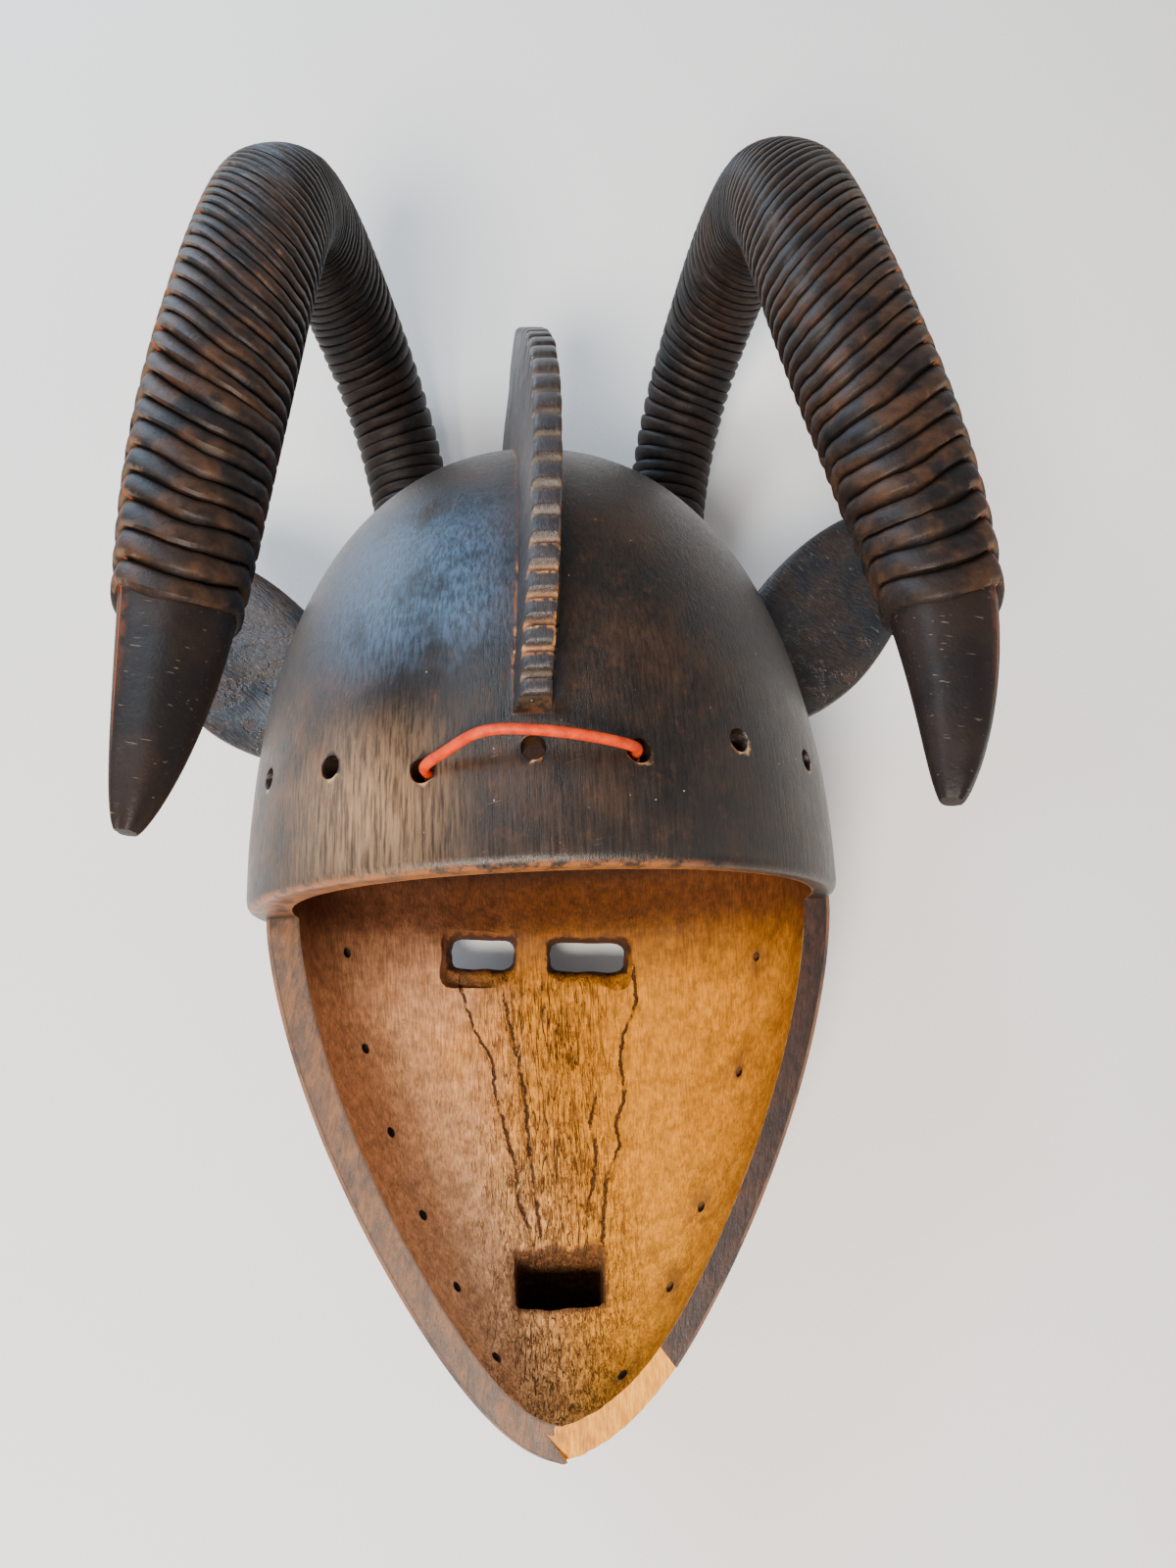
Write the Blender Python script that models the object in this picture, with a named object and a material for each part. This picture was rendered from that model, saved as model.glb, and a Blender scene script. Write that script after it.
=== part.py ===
"""Bobo antelope mask: a helmet of one carved block, with its hanging cord.

Sizes are in metres. The mask has axes of its own: X across (to the right when it
is seen from the wearer's side), Y up from the chin to the crown, and Z back
towards the wearer. The flat back edge of the face is at Z = 0 and the rim of the
cap at Y = 0. An empty lays the finished mask on its face, on the mouth and the
horns, so that it rests on the plane z = 0 with the middle of its box at the origin.
"""
import math

import bmesh
import bpy
import numpy as np
from mathutils import Matrix, Vector

# The cap
CAP_HALF_WIDTH = 0.113
CAP_HALF_DEPTH = 0.104
CAP_HEIGHT = 0.186
CAP_ROUNDNESS = 2.3
CAP_WALL = 0.0105

# The face, a half shell below the cap
FACE_LENGTH = 0.197
FACE_HALF_WIDTH = 0.1108
FACE_DEPTH = 0.092
FACE_SHIFT = 0.0022
FACE_TAPER = 1.5
FACE_ROUNDNESS = 0.70
CHIN_FULLNESS = 0.22
PROFILE_ROUNDNESS = 0.7
FACE_SIDE_WALL = 0.0118
FACE_FRONT_WALL = 0.014
CHIN_WALL = 0.0125
SECTION_ROUNDNESS = 2.2
FACE_SINK = 0.004

# The hollow, one cavity through the cap and the face
HOLLOW_SHIFT = 0.0035
HOLLOW_ROUNDNESS = 0.6
BROW_FADE = 0.05
BROW_INSET = 0.001
CAP_SECTION_ROUNDNESS = 2.1
HOLLOW_BACK = 0.02

# The openings
EYE_HEIGHT = 0.0135
EYE_LEVEL = -0.008
EYE_DROP = 0.005
LEFT_EYE = (-0.0434, -0.0152)
RIGHT_EYE = (0.0015, 0.0356)
MOUTH_MIDDLE = 0.0008
MOUTH_OVER_CHIN = 0.0555
MOUTH_BACK = 0.0048
MOUTH_WIDTH = 0.0355
MOUTH_HEIGHT = 0.0225
CAP_HOLE_ANGLES = (-60, -38.5, -19.5, -1, 16.5, 37, 60)
CAP_HOLE_HEIGHTS = (0.0435, 0.0395, 0.0330, 0.0380, 0.0370, 0.0440, 0.0440)
CAP_HOLE_RADIUS = 0.0038
EDGE_HOLE_RADIUS = 0.0020
EDGE_HOLE_ANGLE = 30
LEFT_EDGE_HOLES = (0.055, 0.27, 0.45, 0.62, 0.76, 0.89)
RIGHT_EDGE_HOLES = (0.10, 0.355, 0.63, 0.78, 0.93)

# The snout and the nose ridge on the front
SNOUT_WIDTH = 0.058
SNOUT_HEIGHT = 0.042
SNOUT_REACH = 0.1105
LIP_RISE = 0.004
LIP_LENGTH = 0.011
SNOUT_DROOP = 30
SNOUT_START = 0.012
NOSE_TOP = -0.0069
NOSE_OVER_MOUTH = 0.0215
NOSE_WIDTH = 0.012
NOSE_RISE = 0.013

# The crest, a toothed blade over the crown
CREST_THICKNESS = 0.0102
CREST_BASE_THICKNESS = 0.0155
CREST_START = 26
CREST_END = 94
CREST_RISES = (0.009, 0.0377, 0.0396)
CREST_TOP_SHARPNESS = 6
CREST_OFFSET = -0.0225
CREST_LEAN = 0.094
CREST_SKEW = 0.155
TOOTH_PITCH = 0.0130
TOOTH_DEPTH = 0.0035
TOOTH_SHARE = 0.62
TOOTH_FLANK = 0.02
CREST_STEPS = 40

# The horns, a ringed arch each
HORN_ROOT = (0.0575, 0.1455, -0.0665)
HORN_SINK = 0.038
HORN_LENGTH = 0.578
HORN_HEADINGS = (-33, 170)
HORN_BEND_PLACE = 0.263
HORN_BEND_SPREAD = 0.293
RIGHT_HORN_LEANS = (1, 8.75, 16.5, 6.75, -3, 1.25, 7.5, 4.75, -16)
LEFT_HORN_LEANS = (1, 8.75, 16.5, 6.75, -3, 1.25, 4, 0.75, 11)
HORN_SHIFT = 0.0045
HORN_ROOT_RADIUS = 0.0198
HORN_MIDDLE_RADIUS = 0.0223
RINGED_SHARE = 0.885
TAPER_START = 0.67
TIP_SHARE = 0.20
RING_START = -0.024
RING_PITCH = 0.0084
RING_DEPTH = 0.0018
RING_SLANT = 0.013
SLANT_FADE = 0.05
KEEL_TURN = 45
KEEL_RISE = 0.05
HORN_ROUNDNESS = 1.8
TIP_LAYERS = 7
HORN_GRID = 400
LEAN_BLEND = 25

# The ears: where each starts in the cap, its tip, and its half width
RIGHT_EAR_ROOT = (0.096, 0.090)
RIGHT_EAR_TIP = (0.162, 0.168)
RIGHT_EAR_HALF_WIDTH = 0.029
LEFT_EAR_ROOT = (-0.096, 0.082)
LEFT_EAR_TIP = (-0.162, 0.156)
LEFT_EAR_HALF_WIDTH = 0.032
EAR_BACK = -0.010
EAR_THICKNESS = 0.013
EAR_WIDEST = 0.35
EAR_ROOT_TAPER = 0.3
EAR_TIP_THINNING = 0.5
EAR_LAYERS = 8
AROUND_EAR = 10

# The chip at the chin
CHIP_START = (0.001, -0.196)
CHIP_END = (0.041, -0.1665)
CHIP_DEPTH = 0.0025
CHIP_TILT = 14

# The hanging cord and its stop knots
CORD_DIAMETER = 0.0036
CORD_ROUTE = (
    (-0.0338, 0.0323, 0.0847), (-0.0341, 0.0325, 0.0872), (-0.0366, 0.0333, 0.0968),
    (-0.0348, 0.0345, 0.1015), (-0.0295, 0.0365, 0.1055), (-0.0240, 0.0388, 0.1095),
    (-0.0185, 0.0405, 0.1125), (-0.0120, 0.0410, 0.1140), (-0.0040, 0.0406, 0.1143),
    (0.0060, 0.0398, 0.1132), (0.0150, 0.0388, 0.1110), (0.0230, 0.0378, 0.1080),
    (0.0288, 0.0372, 0.1038), (0.0312, 0.0370, 0.0985), (0.0296, 0.0368, 0.0886),
    (0.0290, 0.0367, 0.0860),
)
CORD_STEP = 0.0075
ROUTE_STEPS = 12
AROUND_KNOT = 10
KNOT_RADIUS = 0.0055
KNOT_LENGTH = 0.008
KNOT_PROFILE = ((0.7, 0.0), (1.0, 0.3), (1.0, 0.65), (0.6, 1.0))
GAP = 0.0003

AROUND_CAP = 32
AROUND_HORN = 10
LAYERS = 9


def clear_scene():
    for item in list(bpy.data.objects):
        bpy.data.objects.remove(item, do_unlink=True)


def collection(name):
    made = bpy.data.collections.new(name)
    bpy.context.scene.collection.children.link(made)
    return made


def material(name, colour, roughness):
    made = bpy.data.materials.new(name)
    made.use_nodes = True
    shader = made.node_tree.nodes["Principled BSDF"]
    shader.inputs["Base Color"].default_value = (*colour, 1.0)
    shader.inputs["Roughness"].default_value = roughness
    shader.inputs["Metallic"].default_value = 0.0
    return made


def new_object(name, work, home, parent):
    """Turn a bmesh into an object with its faces pointing out."""
    bmesh.ops.recalc_face_normals(work, faces=work.faces)
    mesh = bpy.data.meshes.new(name)
    work.to_mesh(mesh)
    work.free()
    made = bpy.data.objects.new(name, mesh)
    home.objects.link(made)
    made.parent = parent
    return made


def loft(rings, first_pole=None, last_pole=None):
    """Closed surface through rings of equally many points, capped flat or with a pole."""
    work = bmesh.new()
    rows = [[work.verts.new(point) for point in ring] for ring in rings]
    for row, following in zip(rows, rows[1:]):
        for k in range(len(row)):
            after = (k + 1) % len(row)
            work.faces.new((row[k], row[after], following[after], following[k]))
    for row, pole in ((rows[0], first_pole), (rows[-1], last_pole)):
        if pole is None:
            work.faces.new(row)
            continue
        tip = work.verts.new(pole)
        for k in range(len(row)):
            work.faces.new((row[k], row[(k + 1) % len(row)], tip))
    return work


def power(value, exponent):
    """The sign of a value, with a power of its size."""
    return math.copysign(abs(value) ** exponent, value)


def oval(half_x, back_z, front_z, y, shift, roundness, count):
    """A level ring, with its own depth behind and before the plane Z = 0."""
    ring = []
    for k in range(count):
        angle = math.tau * k / count
        side = power(math.sin(angle), 2 / roundness)
        along = power(math.cos(angle), 2 / roundness)
        ring.append((half_x * side + shift, y, along * (back_z if along > 0 else front_z)))
    return ring


def cap_scale(y, height):
    """How wide a level of the cap is, as a share of the rim."""
    return max(1 - (max(y, 0) / height) ** CAP_ROUNDNESS, 0) ** (1 / CAP_ROUNDNESS)


def cap_levels(height):
    """Levels that are evenly spread along the curve of the cap."""
    return [height * math.sin(math.pi / 2 * k / LAYERS) ** (2 / CAP_ROUNDNESS) for k in range(LAYERS)]


def cap_outside():
    rings = []
    for y in cap_levels(CAP_HEIGHT):
        scale = cap_scale(y, CAP_HEIGHT)
        depth = CAP_HALF_DEPTH * scale
        rings.append(oval(CAP_HALF_WIDTH * scale, depth, depth, y, 0, 2, AROUND_CAP))
    return loft(rings, last_pole=(0, CAP_HEIGHT, 0))


def slant(shift, share):
    """The carver's slant of the face to one side, gone again at the point of the chin."""
    return shift * (1 - share ** 16)


def face_taper(share):
    """Width of the face as a share of the brow's, from the brow (0) to the chin (1)."""
    return (1 - share ** FACE_TAPER) ** FACE_ROUNDNESS + CHIN_FULLNESS * share ** 8 * math.sqrt(1 - share)


def face_front(y):
    """How far the front of the face is from its back edge at a level."""
    return FACE_DEPTH * (1 - (max(-y, 0) / FACE_LENGTH) ** 2) ** PROFILE_ROUNDNESS


def face_outside():
    rings = []
    half = AROUND_CAP // 2
    for k in range(LAYERS + 3):
        share = math.sin(math.pi / 2 * k / (LAYERS + 3))
        y = -FACE_LENGTH * share if k else FACE_SINK
        wide = FACE_HALF_WIDTH * face_taper(share)
        deep = face_front(y)
        ring = []
        for step in range(half + 1):
            angle = math.pi * (step / half - 0.5)
            x = wide * power(math.sin(angle), 2 / SECTION_ROUNDNESS)
            z = -deep * max(math.cos(angle), 0) ** (2 / SECTION_ROUNDNESS)
            ring.append((x + slant(FACE_SHIFT, share), y, z))
        rings.append(ring)
    return loft(rings, last_pole=(0, -FACE_LENGTH, 0))


def inner_ring(y):
    """One level of the hollow: half width, depth behind and before, and shift."""
    deep = CAP_HALF_DEPTH - CAP_WALL
    front = FACE_DEPTH - FACE_FRONT_WALL
    if y >= 0:
        scale = cap_scale(y, CAP_HEIGHT - CAP_WALL)
        fade = max(1 - y / BROW_FADE, 0) ** 2
        wide = (CAP_HALF_WIDTH - CAP_WALL) * scale
        before = deep * scale - (deep - front) * fade
        return wide - BROW_INSET * fade, deep * scale, before, HOLLOW_SHIFT * fade
    share = -y / (FACE_LENGTH - CHIN_WALL)
    wide = (FACE_HALF_WIDTH - FACE_SIDE_WALL) * face_taper(share)
    front *= (1 - share ** 2) ** HOLLOW_ROUNDNESS
    return wide, deep * (1 - share) + HOLLOW_BACK, front, slant(HOLLOW_SHIFT, share)


def hollow():
    low, high = CHIN_WALL - FACE_LENGTH, CAP_HEIGHT - CAP_WALL
    levels = [low * math.sin(math.pi / 2 * k / (LAYERS + 1)) for k in range(LAYERS, 0, -1)]
    levels += cap_levels(high)
    rings = []
    for y in levels:
        wide, back, front, shift = inner_ring(y)
        roundness = SECTION_ROUNDNESS if y < 0 else CAP_SECTION_ROUNDNESS
        rings.append(oval(wide, back, front, y, shift, roundness, AROUND_CAP - 8))
    return loft(rings, (0, low, 0), (0, high, 0))


def horn_frames(places, leans):
    """Centre, and the outward and sideways directions, at places along a right horn."""
    grid = np.linspace(-HORN_SINK, HORN_LENGTH, HORN_GRID)
    share = grid / HORN_LENGTH
    bend = np.tanh((share - HORN_BEND_PLACE) / HORN_BEND_SPREAD)
    low = math.tanh(-HORN_BEND_PLACE / HORN_BEND_SPREAD)
    high = math.tanh((1 - HORN_BEND_PLACE) / HORN_BEND_SPREAD)
    first, last = HORN_HEADINGS
    heading = np.radians(first + (last - first) * (bend - low) / (high - low))
    lean = np.radians(np.interp(share, np.linspace(0, 1, len(leans)), leans))
    window = np.hanning(2 * LEAN_BLEND + 1)
    lean = np.convolve(np.pad(lean, LEAN_BLEND, mode="edge"), window / window.sum(), mode="valid")
    step = np.column_stack([
        np.sin(lean), np.cos(lean) * np.cos(heading), np.cos(lean) * np.sin(heading)])
    path = np.vstack([[0, 0, 0], np.cumsum((step[1:] + step[:-1]) / 2, axis=0) * (grid[1] - grid[0])])
    at_root = np.array([np.interp(0, grid, path[:, axis]) for axis in range(3)])
    path += np.array(HORN_ROOT) - at_root
    frames = []
    for place in places:
        centre = Vector([float(np.interp(place, grid, path[:, axis])) for axis in range(3)])
        turn = float(np.interp(place, grid, heading))
        side = float(np.interp(place, grid, lean))
        outward = Vector((0, math.sin(turn), -math.cos(turn)))
        sideways = Vector((math.cos(side), -math.sin(side) * math.cos(turn),
                           -math.sin(side) * math.sin(turn)))
        frames.append((centre, outward, sideways))
    return frames


def horn_radius(place):
    """Radius of the horn on the crests of its rings."""
    share = max(place / HORN_LENGTH, 0)
    body = HORN_ROOT_RADIUS + (HORN_MIDDLE_RADIUS - HORN_ROOT_RADIUS) * min(share / 0.5, 1)
    tip = max((share - TAPER_START) / (1 - TAPER_START), 0)
    return body * (TIP_SHARE + (1 - TIP_SHARE) * max(1 - tip ** 2.5, 0) ** 0.7)


def horn_shape(angle):
    """A rounded diamond with a keel at angle 0, as a share of the radius."""
    size = abs(math.cos(angle)) ** HORN_ROUNDNESS + abs(math.sin(angle)) ** HORN_ROUNDNESS
    return size ** (-1 / HORN_ROUNDNESS) * (1 + KEEL_RISE * max(math.cos(angle), 0) ** 12)


def horn(side, leans):
    """One horn: side is 1 on the right and -1 on the left."""
    ringed = RINGED_SHARE * HORN_LENGTH
    count = round((ringed - RING_START) / RING_PITCH)
    pitch = (ringed - RING_START) / count
    stations = [(-HORN_SINK, -RING_DEPTH)]
    for k in range(count):
        stations += [(RING_START + pitch * k, -RING_DEPTH), (RING_START + pitch * (k + 0.5), 0)]
    stations += [(ringed, -RING_DEPTH)]
    for k in range(1, TIP_LAYERS):
        along = math.sin(math.pi / 2 * k / TIP_LAYERS)
        stations.append((ringed + (HORN_LENGTH - ringed) * along, -RING_DEPTH))
    rings = []
    for place, cut in stations:
        full = min((place + HORN_SINK) / SLANT_FADE, 1 - (place - ringed) / SLANT_FADE, 1)
        tilt = RING_SLANT / 2 * max(full, 0)
        angles = [math.tau * k / AROUND_HORN for k in range(AROUND_HORN)]
        shifted = [min(place - tilt * math.cos(angle), HORN_LENGTH) for angle in angles]
        ring = []
        for angle, (centre, outward, sideways) in zip(angles, horn_frames(shifted, leans)):
            radius = (horn_radius(place) + cut) * horn_shape(angle)
            turned = angle + math.radians(KEEL_TURN)
            point = centre + (outward * math.cos(turned) + sideways * math.sin(turned)) * radius
            ring.append((side * point.x + HORN_SHIFT, point.y, point.z))
        rings.append(ring)
    ends = horn_frames([-HORN_SINK, HORN_LENGTH], leans)
    poles = [(side * end.x + HORN_SHIFT, end.y, end.z) for end, _, _ in ends]
    return loft(rings, *poles)


def crest():
    """The toothed blade: a leaning wedge lofted along the cap from its low end to its front."""
    first, last = math.radians(CREST_START), math.radians(CREST_END)
    rim = [crest_point(first + (last - first) * k / CREST_STEPS, crest_rise(k / CREST_STEPS))
           for k in range(CREST_STEPS + 1)]
    teeth = round(sum(math.dist(a, b) for a, b in zip(rim, rim[1:])) / TOOTH_PITCH)
    tooth = ((TOOTH_FLANK, 0), (TOOTH_SHARE - TOOTH_FLANK, 0),
             (TOOTH_SHARE + TOOTH_FLANK, TOOTH_DEPTH), (1 - TOOTH_FLANK, TOOTH_DEPTH))
    rings = []
    for k in range(teeth):
        for part, cut in tooth:
            share = (k + part) / teeth
            angle = first + (last - first) * share
            high = crest_rise(share) - cut
            ring = []
            for half, rise in ((-CREST_BASE_THICKNESS, -CAP_WALL), (-CREST_THICKNESS, high),
                               (CREST_THICKNESS, high), (CREST_BASE_THICKNESS, -CAP_WALL)):
                y, z = crest_point(angle, rise)
                ring.append((half / 2 + CREST_OFFSET + CREST_LEAN * y + CREST_SKEW * z, y, z))
            rings.append(ring)
    return loft(rings)


def crest_rise(share):
    """Height of the teeth's tops over the cap, from the low end to the high one."""
    low, middle, high = CREST_RISES
    return low + middle * share + high * share ** CREST_TOP_SHARPNESS


def crest_point(angle, rise):
    """A point over the cap's middle curve, from behind (angle 0) over the crown."""
    up, back = math.sin(angle), math.cos(angle)
    size = (up / CAP_HEIGHT) ** CAP_ROUNDNESS + abs(back / CAP_HALF_DEPTH) ** CAP_ROUNDNESS
    radius = size ** (-1 / CAP_ROUNDNESS) + rise
    return radius * up, radius * back


def ear(root, tip, half_width):
    """A thick leaf, lofted from its root inside the cap's wall to its tip."""
    start, end = Vector((*root, EAR_BACK)), Vector((*tip, EAR_BACK))
    along = end - start
    across = Vector((-along.y, along.x, 0)).normalized()
    rings = []
    for k in range(EAR_LAYERS):
        share = k / EAR_LAYERS
        before = max(1 - share / EAR_WIDEST, 0)
        past = max(share - EAR_WIDEST, 0) / (1 - EAR_WIDEST)
        wide = half_width * math.sqrt(1 - past ** 2) * (1 - EAR_ROOT_TAPER * before ** 2)
        thick = EAR_THICKNESS / 2 * (1 - EAR_TIP_THINNING * share)
        ring = []
        for step in range(AROUND_EAR):
            angle = math.tau * step / AROUND_EAR
            middle = start + along * share
            ring.append(middle + across * wide * math.cos(angle) + Vector((0, 0, thick * math.sin(angle))))
        rings.append(ring)
    return loft(rings, None, end)


def nose():
    """The long ridge from the brow to the mouth, following the face's front."""
    rings = []
    half = NOSE_WIDTH / 2
    end = snout_frame()[0].y + NOSE_OVER_MOUTH
    for k in range(LAYERS):
        along = k / (LAYERS - 1)
        y = FACE_SINK + (end - FACE_SINK) * along
        middle = NOSE_TOP + (MOUTH_MIDDLE - NOSE_TOP) * along
        front = -face_front(y)
        inside, outside = front + FACE_FRONT_WALL / 2, front - NOSE_RISE
        rings.append([(middle - half, y, inside), (middle + half, y, inside),
                      (middle + half, y, outside), (middle - half, y, outside)])
    return loft(rings)


def snout_frame():
    """The mouth's middle on the inner face, its direction and the direction of its height."""
    droop = math.radians(SNOUT_DROOP)
    level = MOUTH_OVER_CHIN - FACE_LENGTH
    _, _, front, _ = inner_ring(level)
    start = Vector((MOUTH_MIDDLE, level, MOUTH_BACK - front))
    along = Vector((0, -math.sin(droop), -math.cos(droop)))
    return start, along, Vector((0, math.cos(droop), -math.sin(droop)))


def snout(lean):
    """The mouth's box with its lips, cut off in front by the plane that the mask rests on."""
    start, along, up = snout_frame()
    rings = []
    for grow, back in ((0, None), (0, LIP_LENGTH), (LIP_RISE, LIP_LENGTH), (LIP_RISE, 0)):
        ring = []
        for x, rise in ((-1, -1), (1, -1), (1, 1), (-1, 1)):
            sideways = Vector((x * (SNOUT_WIDTH / 2 + grow), 0, 0))
            corner = start + sideways + up * rise * (SNOUT_HEIGHT / 2 + grow)
            front = (rest_height(corner.y, lean) - corner.z) / (along.z - math.tan(lean) * along.y)
            ring.append(corner + along * (SNOUT_START if back is None else front - back))
        rings.append(ring)
    return loft(rings)


def rest_height(y, lean):
    """Z of the resting plane at a level Y; it passes through the middle of the snout's front."""
    start, along, _ = snout_frame()
    middle = start.y + along.y * (-SNOUT_REACH - start.z) / along.z
    return -SNOUT_REACH + math.tan(lean) * (y - middle)


def resting_lean(points):
    """The lean at which the plane through the snout's front touches the horns or the brow."""
    start, along, _ = snout_frame()
    middle = start.y + along.y * (-SNOUT_REACH - start.z) / along.z
    slopes = [(p[2] + SNOUT_REACH) / (p[1] - middle) for p in points if p[1] > middle + SNOUT_HEIGHT]
    return math.atan(min(slopes))


def tunnel(start, direction, radius, length, sides):
    """A cutter through the wall, centred on a point."""
    work = bmesh.new()
    bmesh.ops.create_cone(work, cap_ends=True, segments=sides, radius1=radius, radius2=radius, depth=length)
    turn = Vector(direction).to_track_quat("Z", "Y").to_matrix().to_4x4()
    bmesh.ops.transform(work, matrix=Matrix.Translation(start) @ turn, verts=work.verts)
    return work


def block(middle, size, turn):
    """A box cutter, turned about its own middle."""
    work = bmesh.new()
    bmesh.ops.create_cube(work, size=1)
    shape = Matrix.Translation(middle) @ turn @ Matrix.Diagonal((*size, 1))
    bmesh.ops.transform(work, matrix=shape, verts=work.verts)
    return work


def cap_hole_point(index):
    angle = math.radians(CAP_HOLE_ANGLES[index])
    y = CAP_HOLE_HEIGHTS[index]
    scale = cap_scale(y, CAP_HEIGHT)
    point = Vector((CAP_HALF_WIDTH * scale * math.sin(angle), y, CAP_HALF_DEPTH * scale * math.cos(angle)))
    return point, Vector((math.sin(angle), 0, math.cos(angle)))


def hole_cutters():
    """Every round hole: the row round the cap and the small ones near the face's edge."""
    cutters = []
    for k in range(len(CAP_HOLE_ANGLES)):
        point, direction = cap_hole_point(k)
        cutters.append(tunnel(point, direction, CAP_HOLE_RADIUS, 5 * CAP_WALL, 10))
    turn = math.radians(EDGE_HOLE_ANGLE)
    for side, shares in ((-1, LEFT_EDGE_HOLES), (1, RIGHT_EDGE_HOLES)):
        for share in shares:
            y = (CHIN_WALL - FACE_LENGTH) * share
            wide, _, front, shift = inner_ring(y)
            point = Vector((side * wide * math.cos(turn) + shift, y, -front * math.sin(turn)))
            direction = Vector((side * math.cos(turn), -share ** 3, -math.sin(turn)))
            cutters.append(tunnel(point, direction, EDGE_HOLE_RADIUS, 4 * FACE_FRONT_WALL, 6))
    return cutters


def opening_cutters():
    """The eye slits, the mouth's tunnel and the chip at the chin."""
    cutters = []
    for left, right in (LEFT_EYE, RIGHT_EYE):
        middle = (left + right) / 2
        span = RIGHT_EYE[1] - LEFT_EYE[0]
        turn = Matrix.Rotation(-math.atan2(EYE_DROP, span), 4, "Z")
        level = EYE_LEVEL - EYE_DROP * (middle - LEFT_EYE[0]) / span
        size = (right - left, EYE_HEIGHT, 4 * FACE_FRONT_WALL)
        cutters.append(block((middle, level, -FACE_DEPTH), size, turn))
    start, along, _ = snout_frame()
    turn = Matrix.Rotation(math.radians(-SNOUT_DROOP), 4, "X")
    size = (MOUTH_WIDTH, MOUTH_HEIGHT, 1.5 * SNOUT_REACH)
    cutters.append(block(start + along * SNOUT_REACH / 2, size, turn))
    first, last = Vector((*CHIP_START, 0)), Vector((*CHIP_END, 0))
    edge = last - first
    turn = Matrix.Rotation(math.atan2(edge.y, edge.x), 4, "Z")
    turn = turn @ Matrix.Rotation(math.radians(CHIP_TILT), 4, "X")
    thick = 2 * FACE_SIDE_WALL
    above = Vector((0, 0, thick / 2 - CHIP_DEPTH))
    cutters.append(block((first + last) / 2 + above, (edge.length, 2 * thick, thick), turn))
    return cutters


def boolean(target, name, operation, operands):
    cut = target.modifiers.new(name, "BOOLEAN")
    cut.operation = operation
    cut.operand_type = "COLLECTION"
    cut.collection = operands
    cut.solver = "EXACT"


def hide(item):
    item.hide_render = True
    item.display_type = "WIRE"


def carved_mask(home, parent):
    """The one carved block: joined forms first, then the hollow and the openings."""
    joined, cutters = collection("joined_forms"), collection("cutters")
    raw = {"horn_right": horn(1, RIGHT_HORN_LEANS), "horn_left": horn(-1, LEFT_HORN_LEANS),
           "crest": crest(), "face": face_outside(), "nose": nose(),
           "ear_right": ear(RIGHT_EAR_ROOT, RIGHT_EAR_TIP, RIGHT_EAR_HALF_WIDTH),
           "ear_left": ear(LEFT_EAR_ROOT, LEFT_EAR_TIP, LEFT_EAR_HALF_WIDTH)}
    cap = cap_outside()
    points = [tuple(v.co) for form in (*raw.values(), cap) for v in form.verts]
    lean = resting_lean(points)
    raw["snout"] = snout(lean)
    for name, work in raw.items():
        hide(new_object(name + "_form", work, joined, parent))
    for number, work in enumerate([hollow()] + opening_cutters() + hole_cutters()):
        hide(new_object(f"cutter_{number}", work, cutters, parent))
    mask = new_object("mask", cap, home, parent)
    mask.data.materials.append(material("carved_wood", (0.045, 0.034, 0.028), 0.55))
    boolean(mask, "join", "UNION", joined)
    boolean(mask, "open", "DIFFERENCE", cutters)
    return mask, lean


def smooth_route(points, step):
    """Evenly spaced points on a smooth curve through the route's points."""
    route = [Vector(point) for point in points]
    route = [route[0] * 2 - route[1]] + route + [route[-1] * 2 - route[-2]]
    fine = []
    for a, b, c, d in zip(route, route[1:], route[2:], route[3:]):
        for k in range(ROUTE_STEPS):
            t = k / ROUTE_STEPS
            fine.append((b * 2 + (c - a) * t + (a * 2 - b * 5 + c * 4 - d) * t ** 2
                         + (b * 3 - a - c * 3 + d) * t ** 3) / 2)
    fine.append(route[-2])
    runs = [0.0]
    for a, b in zip(fine, fine[1:]):
        runs.append(runs[-1] + (b - a).length)
    count = round(runs[-1] / step)
    wanted = [runs[-1] * k / count for k in range(count + 1)]
    axes = [np.interp(wanted, runs, [point[axis] for point in fine]) for axis in range(3)]
    return [Vector(point) for point in zip(*axes)]


def hanging_cord(home, parent):
    """The cord outside the cap, and the stop knot on each end inside it."""
    dye = material("dyed_cord", (0.62, 0.13, 0.04), 0.5)
    route = smooth_route(CORD_ROUTE, CORD_STEP)
    curve = bpy.data.curves.new("hanging_cord", "CURVE")
    curve.dimensions = "3D"
    curve.bevel_depth = CORD_DIAMETER / 2
    curve.bevel_resolution = 2
    curve.use_fill_caps = True
    line = curve.splines.new("POLY")
    line.points.add(len(route) - 1)
    for point, place in zip(line.points, route):
        point.co = (*place, 1)
    curve.materials.append(dye)
    cord = bpy.data.objects.new("hanging_cord", curve)
    home.objects.link(cord)
    cord.parent = parent
    for name, end, before in (("knot_left", route[0], route[1]), ("knot_right", route[-1], route[-2])):
        inward = (end - before).normalized()
        turn = inward.to_track_quat("Z", "Y").to_matrix().to_4x4()
        place = Matrix.Translation(end + inward * GAP) @ turn
        spins = [math.tau * k / AROUND_KNOT for k in range(AROUND_KNOT)]
        rings = []
        for wide, up in KNOT_PROFILE:
            radius = KNOT_RADIUS * wide
            rings.append([place @ Vector((radius * math.cos(spin), radius * math.sin(spin), KNOT_LENGTH * up))
                          for spin in spins])
        knot = new_object(name, loft(rings), home, parent)
        knot.data.materials.append(dye)


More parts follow.
